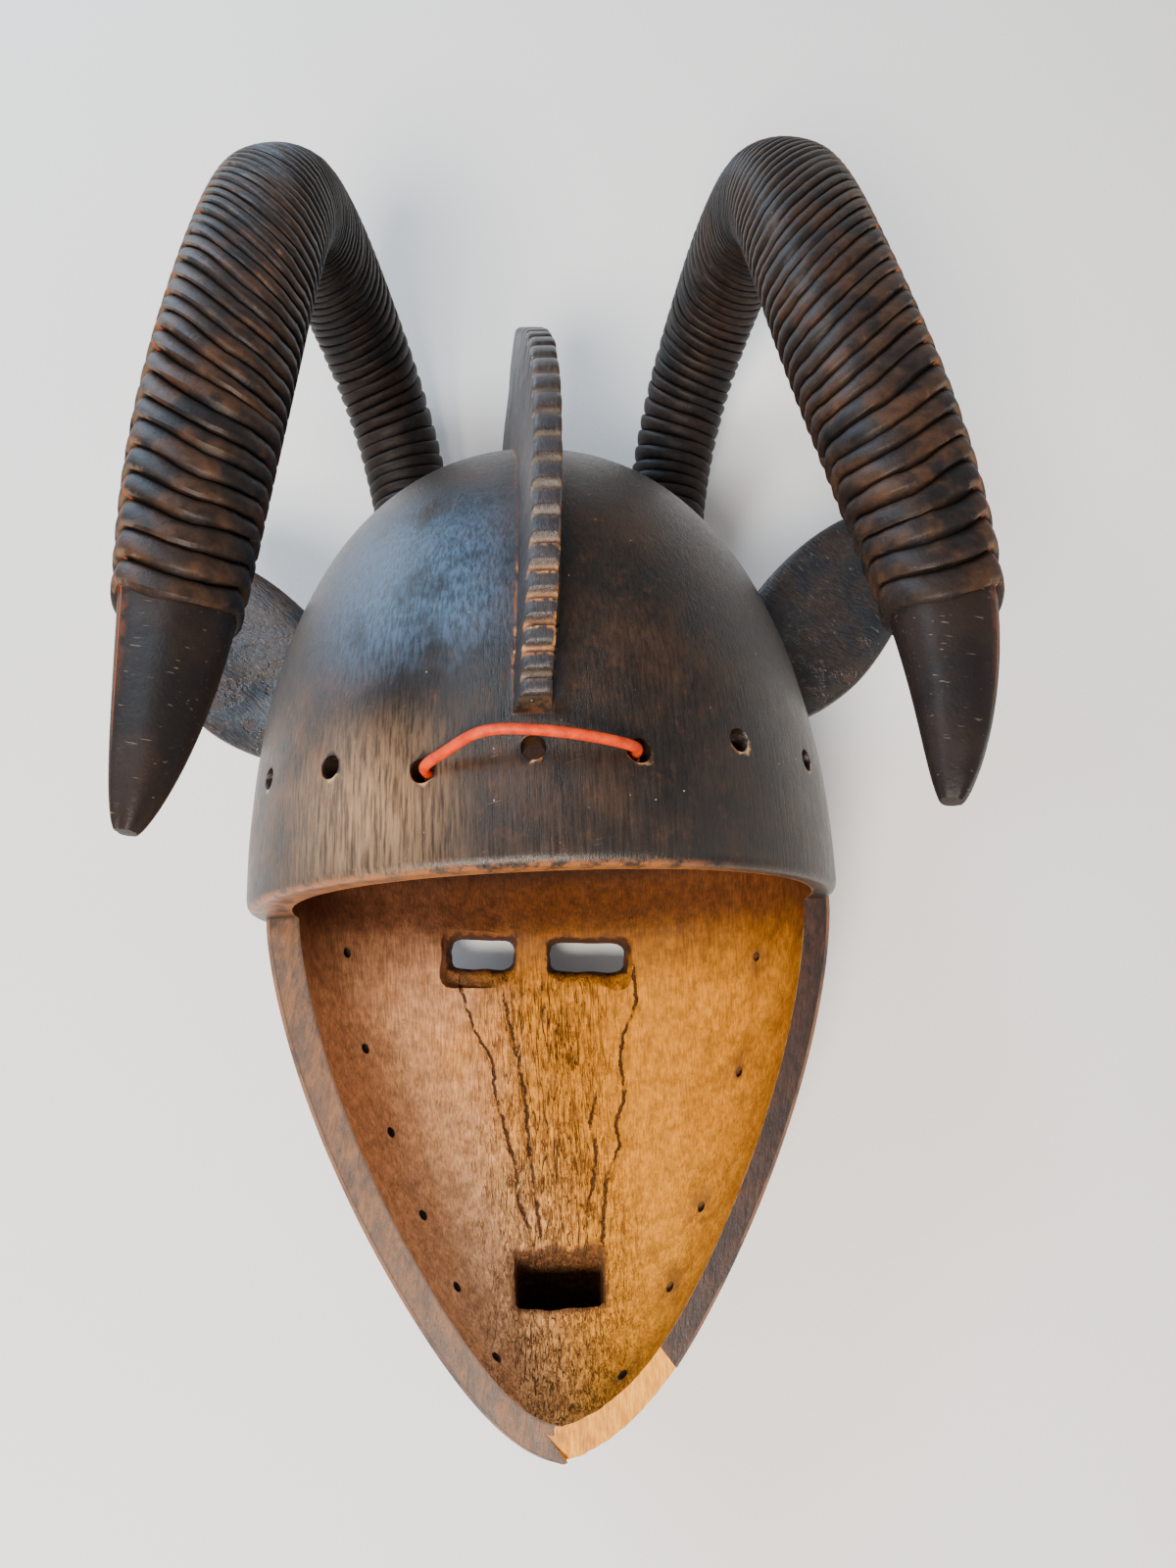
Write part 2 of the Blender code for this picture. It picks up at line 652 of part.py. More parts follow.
def lay_down(parent, mask, lean):
    """Turn the mask face down onto its resting plane and centre its box on the origin."""
    parent.rotation_euler = (-lean, 0, 0)
    bpy.context.view_layer.update()
    turned = parent.matrix_world.to_3x3()
    evaluated = mask.evaluated_get(bpy.context.evaluated_depsgraph_get())
    corners = np.array([turned @ vertex.co for vertex in evaluated.data.vertices])
    low, high = corners.min(axis=0), corners.max(axis=0)
    parent.location = (-(low[0] + high[0]) / 2, -(low[1] + high[1]) / 2, -low[2])


def main():
    clear_scene()
    home = collection("bobo_antelope_mask")
    parent = bpy.data.objects.new("mask_axes", None)
    home.objects.link(parent)
    mask, lean = carved_mask(home, parent)
    hanging_cord(home, parent)
    lay_down(parent, mask, lean)


main()
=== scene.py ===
"""The looks of the bobo antelope mask: its fine carving, its finishes, the cord, the light.

Sizes are in metres. The forms are made in the mask's own axes: X across (to the right when
it is seen from the wearer's side), Y up from the chin to the crown, Z back towards the
wearer. AXES turns them to the frame, where the mask lies on its face.
"""
import math
import random

import bmesh
import bpy
import numpy as np
from mathutils import Euler, Matrix, Vector, noise
from mathutils.kdtree import KDTree

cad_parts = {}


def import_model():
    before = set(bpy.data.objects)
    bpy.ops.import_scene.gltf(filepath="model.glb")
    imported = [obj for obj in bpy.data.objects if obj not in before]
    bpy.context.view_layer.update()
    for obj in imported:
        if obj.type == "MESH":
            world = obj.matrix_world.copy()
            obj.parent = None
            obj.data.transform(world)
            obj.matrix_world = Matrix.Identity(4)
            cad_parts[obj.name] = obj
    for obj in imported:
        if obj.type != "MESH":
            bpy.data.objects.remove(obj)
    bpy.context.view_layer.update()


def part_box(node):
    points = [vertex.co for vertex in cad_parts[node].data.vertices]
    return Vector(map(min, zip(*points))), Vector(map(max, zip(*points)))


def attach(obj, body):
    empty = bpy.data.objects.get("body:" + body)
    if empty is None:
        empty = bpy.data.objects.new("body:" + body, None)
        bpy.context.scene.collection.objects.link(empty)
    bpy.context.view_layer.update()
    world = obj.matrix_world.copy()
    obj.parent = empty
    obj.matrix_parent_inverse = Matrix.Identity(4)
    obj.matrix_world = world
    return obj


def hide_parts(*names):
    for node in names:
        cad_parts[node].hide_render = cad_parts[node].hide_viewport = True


# The mask's axes in the frame
MASK_LEAN = -0.006494866
MASK_PLACE = (0.000513911, -0.053594120, 0.109318070)

# The cap
CAP_HALF_WIDTH = 0.113
CAP_HALF_DEPTH = 0.104
CAP_HEIGHT = 0.186
CAP_ROUNDNESS = 2.3
CAP_WALL = 0.0105
CAP_ROWS = 62
AROUND_CAP = 132

# The face
FACE_LENGTH = 0.197
FACE_HALF_WIDTH = 0.1108
FACE_DEPTH = 0.092
FACE_SHIFT = 0.0022
FACE_TAPER = 1.5
FACE_ROUNDNESS = 0.70
CHIN_FULLNESS = 0.22
PROFILE_ROUNDNESS = 0.7
FACE_SIDE_WALL = 0.0118
FACE_FRONT_WALL = 0.014
CHIN_WALL = 0.0125
SECTION_ROUNDNESS = 2.2
FACE_SINK = 0.004

# The hollow
HOLLOW_SHIFT = 0.0035
HOLLOW_ROUNDNESS = 0.6
HOLLOW_ROWS = 132
BROW_FADE = 0.05
BROW_INSET = 0.0035
CAP_SECTION_ROUNDNESS = 2.1
HOLLOW_BACK = 0.02

# The openings
EYE_HEIGHT = 0.0135
EYE_LEVEL = -0.008
EYE_DROP = 0.005
LEFT_EYE = (-0.0434, -0.0152)
RIGHT_EYE = (0.0015, 0.0356)
MOUTH_MIDDLE = 0.0008
MOUTH_OVER_CHIN = 0.0555
MOUTH_BACK = 0.0048
MOUTH_WIDTH = 0.0355
MOUTH_HEIGHT = 0.0225
CAP_HOLE_ANGLES = (-60, -38.5, -19.5, -1, 16.5, 37, 60)
CAP_HOLE_HEIGHTS = (0.0435, 0.0395, 0.0330, 0.0380, 0.0370, 0.0440, 0.0440)
CAP_HOLE_RADIUS = 0.0038
EDGE_HOLE_RADIUS = 0.0020
EDGE_HOLE_ANGLE = 30
LEFT_EDGE_HOLES = (0.055, 0.27, 0.45, 0.62, 0.76, 0.89)
RIGHT_EDGE_HOLES = (0.10, 0.355, 0.63, 0.78, 0.93)

# The snout and the nose ridge
SNOUT_WIDTH = 0.058
SNOUT_HEIGHT = 0.042
SNOUT_REACH = 0.1105
LIP_RISE = 0.004
LIP_LENGTH = 0.011
SNOUT_DROOP = 30
SNOUT_START = 0.012
NOSE_TOP = -0.0069
NOSE_OVER_MOUTH = 0.0215
NOSE_WIDTH = 0.012
NOSE_RISE = 0.013

# The crest
CREST_THICKNESS = 0.0102
CREST_BASE_THICKNESS = 0.0155
CREST_START = 26
CREST_END = 94
CREST_RISES = (0.009, 0.0377, 0.0396)
CREST_TOP_SHARPNESS = 6
CREST_OFFSET = -0.0225
CREST_LEAN = 0.094
CREST_SKEW = 0.155
TOOTH_PITCH = 0.0130
TOOTH_DEPTH = 0.0035
CREST_STEPS = 40
CREST_CORNER = 0.006
# Each tooth along its pitch: how far the rim is cut down, as a share of the tooth's depth
TOOTH_PROFILE = ((0.0, 0.5), (0.02, 0.15), (0.07, 0.0), (0.31, -0.08), (0.55, 0.0), (0.6, 0.15),
                 (0.62, 0.5), (0.64, 0.85), (0.68, 0.97), (0.81, 1.0), (0.94, 0.97), (0.98, 0.85))

# The horns
HORN_ROOT = (0.0575, 0.1455, -0.0665)
HORN_SINK = 0.038
HORN_LENGTH = 0.578
HORN_HEADINGS = (-33, 170)
HORN_BEND_PLACE = 0.263
HORN_BEND_SPREAD = 0.293
RIGHT_HORN_LEANS = (1, 8.75, 16.5, 6.75, -3, 1.25, 7.5, 4.75, -16)
LEFT_HORN_LEANS = (1, 8.75, 16.5, 6.75, -3, 1.25, 4, 0.75, 11)
HORN_SHIFT = 0.0045
HORN_ROOT_RADIUS = 0.0198
HORN_MIDDLE_RADIUS = 0.0223
RIGHT_RINGED_SHARE = 0.907
LEFT_RINGED_SHARE = 0.896
TAPER_START = 0.67
TIP_SHARE = 0.20
RING_START = -0.024
SLANT_FADE = 0.05
KEEL_TURN = 45
KEEL_RISE = 0.05
HORN_ROUNDNESS = 1.8
HORN_GRID = 400
LEAN_BLEND = 25
RING_DEPTH = 0.0018
# Along a horn, as (share of its length, value): the scales' pitch and depth, how much of
# their slant they have, and how steeply they run down from the keel
SCALE_PITCHES = ((0, 0.0075), (0.2, 0.0070), (0.32, 0.0052), (0.48, 0.0055), (0.62, 0.0066),
                 (0.78, 0.0080), (0.92, 0.0090))
SCALE_DEPTHS = ((0, 0.0022), (0.2, 0.0019), (0.32, 0.0010), (0.48, 0.0012), (0.62, 0.0019),
                (0.78, 0.0025), (0.92, 0.0027))
SLANTED = ((0.12, 0.0), (0.38, 1.0), (0.84, 1.0), (0.95, 0.8))
SCALE_SLOPES = ((0.35, 1.0), (0.55, 1.05), (0.66, 0.90), (0.76, 0.62), (0.84, 0.35), (0.92, 0.20))
# How far the viewed side of a horn leans from its axis, as the sine and cosine of the lean
SIDE_LEAN = (0.5, 0.87)
TIP_ROWS = 20
AROUND_HORN = 36
# Each carved scale along its pitch, towards the tip: its depth, and how worn its edge is
SCALE_PROFILE = ((0.0, 1.0, 0.0), (0.08, 0.68, 0.0), (0.22, 0.36, 0.0), (0.42, 0.12, 0.0),
                 (0.64, 0.0, 0.15), (0.85, 0.03, 0.8), (0.955, 0.30, 1.0))

# The ears: where each starts in the cap, its tip, and its half width
RIGHT_EAR = ((0.096, 0.090), (0.162, 0.168), 0.029)
LEFT_EAR = ((-0.096, 0.082), (-0.162, 0.156), 0.032)
EAR_BACK = -0.010
EAR_THICKNESS = 0.013
EAR_WIDEST = 0.35
EAR_ROOT_TAPER = 0.3
EAR_TIP_THINNING = 0.5
EAR_FOLD = 0.0042
EAR_ROWS = 30
AROUND_EAR = 40

# The chip at the chin
CHIP_START = (0.001, -0.196)
CHIP_END = (0.041, -0.1665)
CHIP_DEPTH = 0.0025
CHIP_TILT = 14

# The hanging cord and its knots
CORD_DIAMETER = 0.0036
CORD_ROUTE = (
    (-0.0338, 0.0323, 0.0847), (-0.0341, 0.0325, 0.0872), (-0.0366, 0.0333, 0.0968),
    (-0.0348, 0.0345, 0.1015), (-0.0295, 0.0365, 0.1055), (-0.0240, 0.0388, 0.1095),
    (-0.0185, 0.0405, 0.1125), (-0.0120, 0.0410, 0.1140), (-0.0040, 0.0406, 0.1143),
    (0.0060, 0.0398, 0.1132), (0.0150, 0.0388, 0.1110), (0.0230, 0.0378, 0.1080),
    (0.0288, 0.0372, 0.1038), (0.0312, 0.0370, 0.0985), (0.0296, 0.0368, 0.0886),
    (0.0290, 0.0367, 0.0860),
)
ROUTE_STEPS = 12
CORD_STEP = 0.0018
KNOT_LOOP = 0.00108
KNOT_RISE = 0.0017
KNOT_CLOSED = 0.94
KNOT_TIGHTNESS = 0.92
KNOT_STEPS = 72

# The long cracks inside the face, as (x, y) from their upper to their lower end
CRACKS = {
    "crack_right": ((0.0389, -0.019), (0.0392, -0.036), (0.0325, -0.048), (0.0308, -0.060),
                    (0.0322, -0.072), (0.0278, -0.085), (0.0285, -0.094), (0.0222, -0.106),
                    (0.0190, -0.130)),
    "crack_left": ((-0.0392, -0.023), (-0.0325, -0.044), (-0.0250, -0.056), (-0.0243, -0.070),
                   (-0.0160, -0.100), (-0.0146, -0.114), (-0.0089, -0.130)),
    "crack_middle": ((-0.0196, -0.030), (-0.0136, -0.058), (-0.0108, -0.077), (-0.0103, -0.092),
                     (-0.0058, -0.127)),
    "crack_inner": ((0.0190, -0.074), (0.0165, -0.084), (0.0183, -0.096), (0.0166, -0.108),
                    (0.0120, -0.124)),
}
CRACK_DEPTH = 0.0009
CRACK_WIDTH = 0.0012

# The facets that the adze left inside the face, and its rough middle
FACET_WIDTH = 0.012
FACET_LENGTH = 0.023
FACET_DEPTH = 0.0014
ROUGH_MIDDLE = 0.004
ROUGH_REACH = 0.034
ROUGH_DEPTH = 0.0007

# The camera, in the mask's axes
CAMERA_PLACE = (0.0, -0.059, 0.46)
CAMERA_PITCH = 13.3
CAMERA_YAW = 2.3
CAMERA_ROLL = -1.9
CAMERA_LENS = 27
SENSOR = 36

# The lights: name, place, size, power in watts, colour
LIGHTS = (
    ("window", (-0.95, 0.75, 1.25), 0.7, 20, (0.74, 0.87, 1.0)),
    ("low_window", (-0.80, 1.20, 0.35), 0.6, 14, (0.55, 0.76, 1.0)),
    ("warm_lamp", (-0.30, -0.75, 1.30), 0.5, 44, (1.0, 0.90, 0.79)),
    ("right_fill", (1.3, 0.1, 0.9), 0.9, 3, (1.0, 0.93, 0.84)),
)
LIT_HEIGHT = 0.1
ROOM_COLOUR = (0.98, 0.97, 1.0)
ROOM_STRENGTH = 0.45
FLOOR_HALF_WIDTH = 6.0

# The fine mesh: the least angle of a sharp edge, how far a mark reaches, the gap that is closed
SHARP_ANGLE = 38
MARK_REACH = 0.0012
WELD = 0.00002

# The values of the horns and the crest, with their points, for the finished mesh
HORN_VALUES = ("groove", "edge", "keel", "along", "tip")
MARKS = []

AXES = Matrix.Translation(MASK_PLACE) @ Euler((MASK_LEAN, 0, 0)).to_matrix().to_4x4()
SLOTS = ("patina", "horn", "ear", "raw_wood", "chip", "band")


def power(value, exponent):
    """The sign of a value, with a power of its size."""
    return np.sign(value) * np.abs(value) ** exponent


def smooth_route(points, step):
    """Evenly spaced points on a smooth curve through the route's points."""
    route = [Vector(point) for point in points]
    route = [route[0] * 2 - route[1]] + route + [route[-1] * 2 - route[-2]]
    fine = []
    for a, b, c, d in zip(route, route[1:], route[2:], route[3:]):
        for k in range(ROUTE_STEPS):
            t = k / ROUTE_STEPS
            fine.append((b * 2 + (c - a) * t + (a * 2 - b * 5 + c * 4 - d) * t ** 2
                         + (b * 3 - a - c * 3 + d) * t ** 3) / 2)
    fine.append(route[-2])
    runs = [0.0]
    for a, b in zip(fine, fine[1:]):
        runs.append(runs[-1] + (b - a).length)
    count = round(runs[-1] / step)
    wanted = [runs[-1] * k / count for k in range(count + 1)]
    axes = [np.interp(wanted, runs, [point[axis] for point in fine]) for axis in range(3)]
    return [Vector(point) for point in zip(*axes)]


def placed(name, data):
    """A new object in the scene."""
    made = bpy.data.objects.new(name, data)
    bpy.context.scene.collection.objects.link(made)
    return made


def nearest_of(points):
    """A tree that finds the nearest of some points."""
    tree = KDTree(len(points))
    for k, point in enumerate(points):
        tree.insert(point, k)
    tree.balance()
    return tree


def make_camera():
    pitch, yaw, roll = (math.radians(turn) for turn in (CAMERA_PITCH, CAMERA_YAW, CAMERA_ROLL))
    ahead = Vector((0, math.sin(pitch), -math.cos(pitch)))
    right = Vector((1, 0, 0))
    up = right.cross(ahead)
    looking = ahead * math.cos(yaw) + right * math.sin(yaw)
    level = right * math.cos(yaw) - ahead * math.sin(yaw)
    across = level * math.cos(roll) + up * math.sin(roll)
    upward = up * math.cos(roll) - level * math.sin(roll)
    turn = Matrix((across, upward, -looking)).transposed().to_4x4()
    data = bpy.data.cameras.new("camera")
    data.sensor_fit = "VERTICAL"
    data.sensor_width = SENSOR
    data.sensor_height = SENSOR
    data.lens = CAMERA_LENS
    camera = placed("camera", data)
    camera.matrix_world = AXES @ Matrix.Translation(CAMERA_PLACE) @ turn
    bpy.context.scene.camera = camera


class Paint:
    """One material, with short calls for its nodes. Its coordinates are centimetres."""

    def __init__(self, name):
        self.material = bpy.data.materials.new(name)
        self.material.use_nodes = True
        self.tree = self.material.node_tree
        self.shader = self.tree.nodes["Principled BSDF"]
        own = self.node("ShaderNodeTexCoord").outputs["Object"]
        self.place = self.vector("SCALE", own, Scale=100.0)
        apart = self.node("ShaderNodeSeparateXYZ", {0: self.place})
        self.x, self.y, self.z = apart.outputs

    def node(self, kind, inputs=None, **settings):
        made = self.tree.nodes.new(kind)
        for name, value in settings.items():
            setattr(made, name, value)
        for socket, value in (inputs or {}).items():
            self.plug(made.inputs[socket], value)
        return made

    def plug(self, socket, value):
        if isinstance(value, bpy.types.NodeSocket):
            self.tree.links.new(value, socket)
        else:
            socket.default_value = value

    def vector(self, operation, first, second=None, **named):
        made = self.node("ShaderNodeVectorMath", {0: first, **named}, operation=operation)
        if second is not None:
            self.plug(made.inputs[1], second)
        return made.outputs[0]

    def math(self, operation, first, second=0.0):
        return self.node("ShaderNodeMath", {0: first, 1: second}, operation=operation).outputs[0]

    def times(self, *values):
        total = values[0]
        for value in values[1:]:
            total = self.math("MULTIPLY", total, value)
        return total

    def plus(self, *values):
        total = values[0]
        for value in values[1:]:
            total = self.math("ADD", total, value)
        return total

    def most(self, *values):
        total = values[0]
        for value in values[1:]:
            total = self.math("MAXIMUM", total, value)
        return total

    def band(self, value, low, high, start=0.0, end=1.0):
        """A smooth step from start to end while a value goes from low to high."""
        made = self.node("ShaderNodeMapRange", {0: value, 1: low, 2: high, 3: start, 4: end})
        made.interpolation_type = "SMOOTHSTEP"
        return made.outputs[0]

    def near(self, value, middle, reach):
        """One at a value's middle, falling to nothing at its reach."""
        return self.band(self.math("ABSOLUTE", self.math("SUBTRACT", value, middle)), 0.0, reach, 1.0, 0.0)

    def mix(self, factor, first, second):
        made = self.node("ShaderNodeMix", {0: factor}, data_type="RGBA")
        for index, value in ((6, first), (7, second)):
            plain = not isinstance(value, bpy.types.NodeSocket)
            self.plug(made.inputs[index], (*value, 1.0) if plain else value)
        return made.outputs[2]

    def lay(self, colour, *masks):
        """Lay a colour over the surface, as far as all the masks allow."""
        self.colour = self.mix(self.times(*masks), self.colour, colour)

    def shade(self, factor):
        """Make the surface's colour lighter or darker by a factor."""
        self.colour = self.vector("SCALE", self.colour, Scale=factor)

    def stretched(self, scale, turn=0.0):
        """The coordinates turned about Z and stretched, for grain that runs one way."""
        turned = self.place
        if turn:
            rotation = (0, 0, math.radians(turn))
            turned = self.node("ShaderNodeMapping", {"Vector": turned, "Rotation": rotation}).outputs[0]
        return self.vector("MULTIPLY", turned, scale)

    def noise(self, scale=1.0, detail=3.0, rough=0.55, place=None, distortion=0.0):
        made = self.node("ShaderNodeTexNoise", {
            "Vector": place or self.place, "Scale": scale, "Detail": detail, "Roughness": rough,
            "Distortion": distortion})
        return made.outputs["Fac"]

    def cells(self, scale):
        return self.node("ShaderNodeTexVoronoi", {"Vector": self.place, "Scale": scale}).outputs["Distance"]

    def attribute(self, name):
        return self.node("ShaderNodeAttribute", attribute_name=name).outputs["Fac"]

    def finish(self, roughness, height, depth, specular):
        self.plug(self.shader.inputs["Base Color"], self.colour)
        self.plug(self.shader.inputs["Roughness"], roughness)
        self.shader.inputs["Specular IOR Level"].default_value = specular
        bump = self.node("ShaderNodeBump", {"Height": height, "Distance": depth, "Strength": 1.0})
        self.plug(self.shader.inputs["Normal"], bump.outputs[0])
        return self.material


def patina():
    """Dark worn patina of the cap, the crest and the outside of the face, with painted reflection, painted
    sheen and painted shade.
    """
    p = Paint("patina")
    cloud = p.noise(0.35, 4, 0.6)
    mottle = p.noise(1.6, 5, 0.65)
    brushed = p.noise(1.0, 4, 0.7, p.stretched((9.0, 0.55, 9.0)))
    fine = p.noise(1.0, 3, 0.6, p.stretched((28.0, 2.2, 28.0)))
    crest, groove = p.attribute("crest"), p.attribute("groove")
    p.colour = p.mix(p.band(cloud, 0.38, 0.66), (0.011, 0.008, 0.0065), (0.03, 0.016, 0.009))
    p.lay((0.065, 0.026, 0.01), p.band(mottle, 0.52, 0.72), 0.45)
    # Painted sheen: a warm pale patch, brushed into streaks, on the cap's lower left where light glints
    pale = p.times(p.near(p.plus(p.x, p.times(cloud, 2.0)), -4.6, 4.2), p.near(p.y, 2.3, 4.2),
                   p.band(brushed, 0.3, 0.58, 0.35, 1.0))
    p.lay((0.34, 0.21, 0.115), pale, 0.7)
    # Painted reflection: a cool blue tint on the cap's upper left, where a bright window would be mirrored
    painted_reflection = p.times(p.band(p.x, 0.5, -3.0), p.band(p.x, -9.0, -5.0), p.band(p.y, 5.5, 9.5),
                    p.band(p.y, 16.0, 12.0), p.band(cloud, 0.3, 0.5), p.band(brushed, 0.3, 0.6, 0.55, 1.0))
    p.lay((0.065, 0.135, 0.24), painted_reflection, 0.65)
    p.shade(p.band(brushed, 0.3, 0.7, 0.62, 1.45))
    # Painted shade: the cap grows darker towards its right side, away from the light
    p.shade(p.band(p.x, 2.0, 7.0, 1.0, 0.6))
    side = p.band(p.x, -4.0, -8.5)
    low = p.times(p.band(p.y, 8.5, 5.0), p.band(p.y, 0.0, 2.0))
    rusty = p.times(side, low, p.band(p.noise(0.9, 4, 0.6), 0.42, 0.62), 0.45)
    p.lay((0.11, 0.042, 0.018), rusty)
    arris = p.attribute("arris")
    worn = p.times(p.band(p.plus(arris, p.times(mottle, 2.2)), 2.4, 1.1), p.band(cloud, 0.36, 0.56),
                   p.band(crest, 0.6, 0.2))
    p.lay((0.24, 0.09, 0.028), worn, 0.7)
    low_teeth = p.times(p.band(p.y, 11.8, 9.2), p.band(p.y, 6.0, 7.0))
    # Painted sheen: a cool blue-grey tint on the tops of the crest's teeth
    top = p.times(crest, p.band(groove, 0.15, 0.0))
    p.lay((0.03, 0.034, 0.046), top, 0.4)
    notch = p.times(crest, p.band(groove, 0.3, 0.9), p.band(mottle, 0.35, 0.6, 0.55, 1.0))
    p.lay(p.mix(low_teeth, (0.11, 0.08, 0.06), (0.2, 0.085, 0.028)), notch)
    flecks = p.band(p.noise(4.5, 3), 0.4, 0.56)
    edges = p.times(crest, p.band(arris, 1.4, 0.1), flecks, p.band(low_teeth, 0, 1, 0.1, 0.85))
    p.lay(p.mix(p.band(mottle, 0.4, 0.6), (0.33, 0.085, 0.014), (0.52, 0.24, 0.06)), edges)
    rim = p.times(p.band(p.y, 0.26, 0.02), p.band(p.x, 7.0, 3.0), p.band(p.z, 0.5, 2.0),
                  p.band(mottle, 0.38, 0.56))
    p.lay((0.3, 0.1, 0.024), rim, 0.8)
    # Painted highlight: a pale arc on the lower right rim of each hole in the cap
    hole = p.times(p.attribute("hole_rim_highlight"), p.band(mottle, 0.36, 0.54, 0.3, 1.0))
    p.lay((0.5, 0.32, 0.15), p.band(hole, 0.45, 1.0, 0.0, 0.8))
    # Painted shade: the bores of the cap's holes are near black
    p.lay((0.01, 0.005, 0.003), p.band(p.attribute("bore_shade"), 0.1, 0.9))
    speck = p.band(p.cells(2.1), 0.075, 0.03)
    rare = p.band(p.noise(0.8, 1), 0.54, 0.6)
    p.lay((0.42, 0.36, 0.27), speck, rare, 0.8)
    scratch = p.band(p.noise(1.0, 2, 0.5, p.stretched((11.0, 0.8, 11.0), 28)), 0.69, 0.75)
    p.lay((0.27, 0.16, 0.09), scratch, side, 0.55)
    across = p.band(p.noise(1.0, 2, 0.5, p.stretched((0.9, 13.0, 5.0), -14)), 0.72, 0.76)
    p.lay((0.22, 0.18, 0.15), across, p.band(p.x, 3.0, 0.0), 0.3)
    roughness = p.plus(p.band(brushed, 0.3, 0.7, 0.24, 0.38), p.times(mottle, 0.14))
    height = p.plus(p.times(brushed, 0.6), p.times(fine, 0.35), p.times(mottle, 0.5))
    return p.finish(roughness, height, 0.0004, 0.42)


def horn_paint():
    """Grey-brown carved horn, with painted shade in its grooves, and worn on the edges of its scales."""
    p = Paint("horn")
    groove, edge, keel, along, tip = (p.attribute(name) for name in HORN_VALUES)
    cloud = p.noise(0.45, 4, 0.6)
    mottle = p.noise(2.2, 4, 0.65)
    p.colour = p.mix(p.band(cloud, 0.36, 0.64), (0.0085, 0.0068, 0.0066), (0.018, 0.0105, 0.0075))
    warm = p.times(p.band(along, 0.45, 0.8), p.band(p.noise(0.8, 3), 0.42, 0.62))
    p.lay((0.046, 0.021, 0.01), warm, 0.75)
    p.shade(p.band(mottle, 0.3, 0.7, 0.72, 1.35))
    # Painted shade: the grooves between the scales are near black
    p.lay((0.003, 0.002, 0.0016), p.band(groove, 0.2, 0.85), 0.85)
    ringed = p.band(tip, 0.5, 0.0)
    rubbed = p.times(p.band(edge, 0.45, 1.0), p.band(p.plus(p.times(keel, 0.35), mottle), 0.62, 0.8),
                     ringed)
    p.lay((0.18, 0.115, 0.07), rubbed, p.band(along, 0.15, 0.55, 0.25, 0.45))
    spots = p.times(p.band(keel, 0.945, 0.998), p.band(p.noise(1.3, 2), 0.46, 0.56),
                    p.band(along, 0.3, 0.5))
    p.lay((0.3, 0.065, 0.012), spots, 0.55)
    smooth = p.mix(p.band(cloud, 0.4, 0.6), (0.007, 0.005, 0.0048), (0.014, 0.008, 0.006))
    p.lay(smooth, tip)
    stain = p.times(tip, p.band(keel, 0.55, 0.9), p.band(along, 0.965, 0.9), p.band(mottle, 0.35, 0.6))
    p.lay((0.13, 0.034, 0.01), stain, 0.5)
    split = p.times(tip, p.band(keel, 0.968, 0.998), p.band(along, 0.97, 0.94))
    p.lay((0.42, 0.1, 0.016), split, 0.9)
    scratch = p.band(p.noise(1.0, 2, 0.5, p.stretched((1.0, 14.0, 6.0), 12)), 0.68, 0.74)
    p.lay((0.24, 0.17, 0.12), scratch, tip, 0.4)
    roughness = p.plus(0.42, p.times(mottle, 0.2))
    height = p.plus(mottle, p.times(p.noise(9.0, 3), 0.3), p.times(split, -2.0))
    return p.finish(roughness, height, 0.0003, 0.18)


def ear_paint():
    """Blue-black satin of the ears, with small pale scratches, and painted shade that darkens the right
    ear.
    """
    p = Paint("ear")
    cloud = p.noise(0.6, 3)
    streak = p.noise(1.0, 3, 0.6, p.stretched((2.5, 12.0, 12.0), 40))
    p.colour = p.mix(p.band(cloud, 0.4, 0.62), (0.011, 0.013, 0.017), (0.026, 0.017, 0.013))
    # Painted shade: darker towards the right, on the ear away from the light
    p.shade(p.band(p.x, -4.0, 4.0, 1.0, 0.55))
    rough = p.times(p.band(p.noise(1.1, 4, 0.65), 0.5, 0.62), p.band(p.y, 13.0, 9.0))
    p.lay((0.024, 0.011, 0.006), rough, 0.8)
    scratch = p.band(p.noise(1.0, 2, 0.5, p.stretched((9.0, 1.2, 9.0), -35)), 0.68, 0.74)
    p.lay((0.22, 0.21, 0.2), scratch, 0.25)
    p.shade(p.band(streak, 0.3, 0.7, 0.75, 1.3))
    height = p.plus(streak, p.times(rough, -1.5))
    return p.finish(p.plus(p.band(streak, 0.3, 0.7, 0.28, 0.44), p.times(rough, 0.2)), height, 0.0003, 0.5)


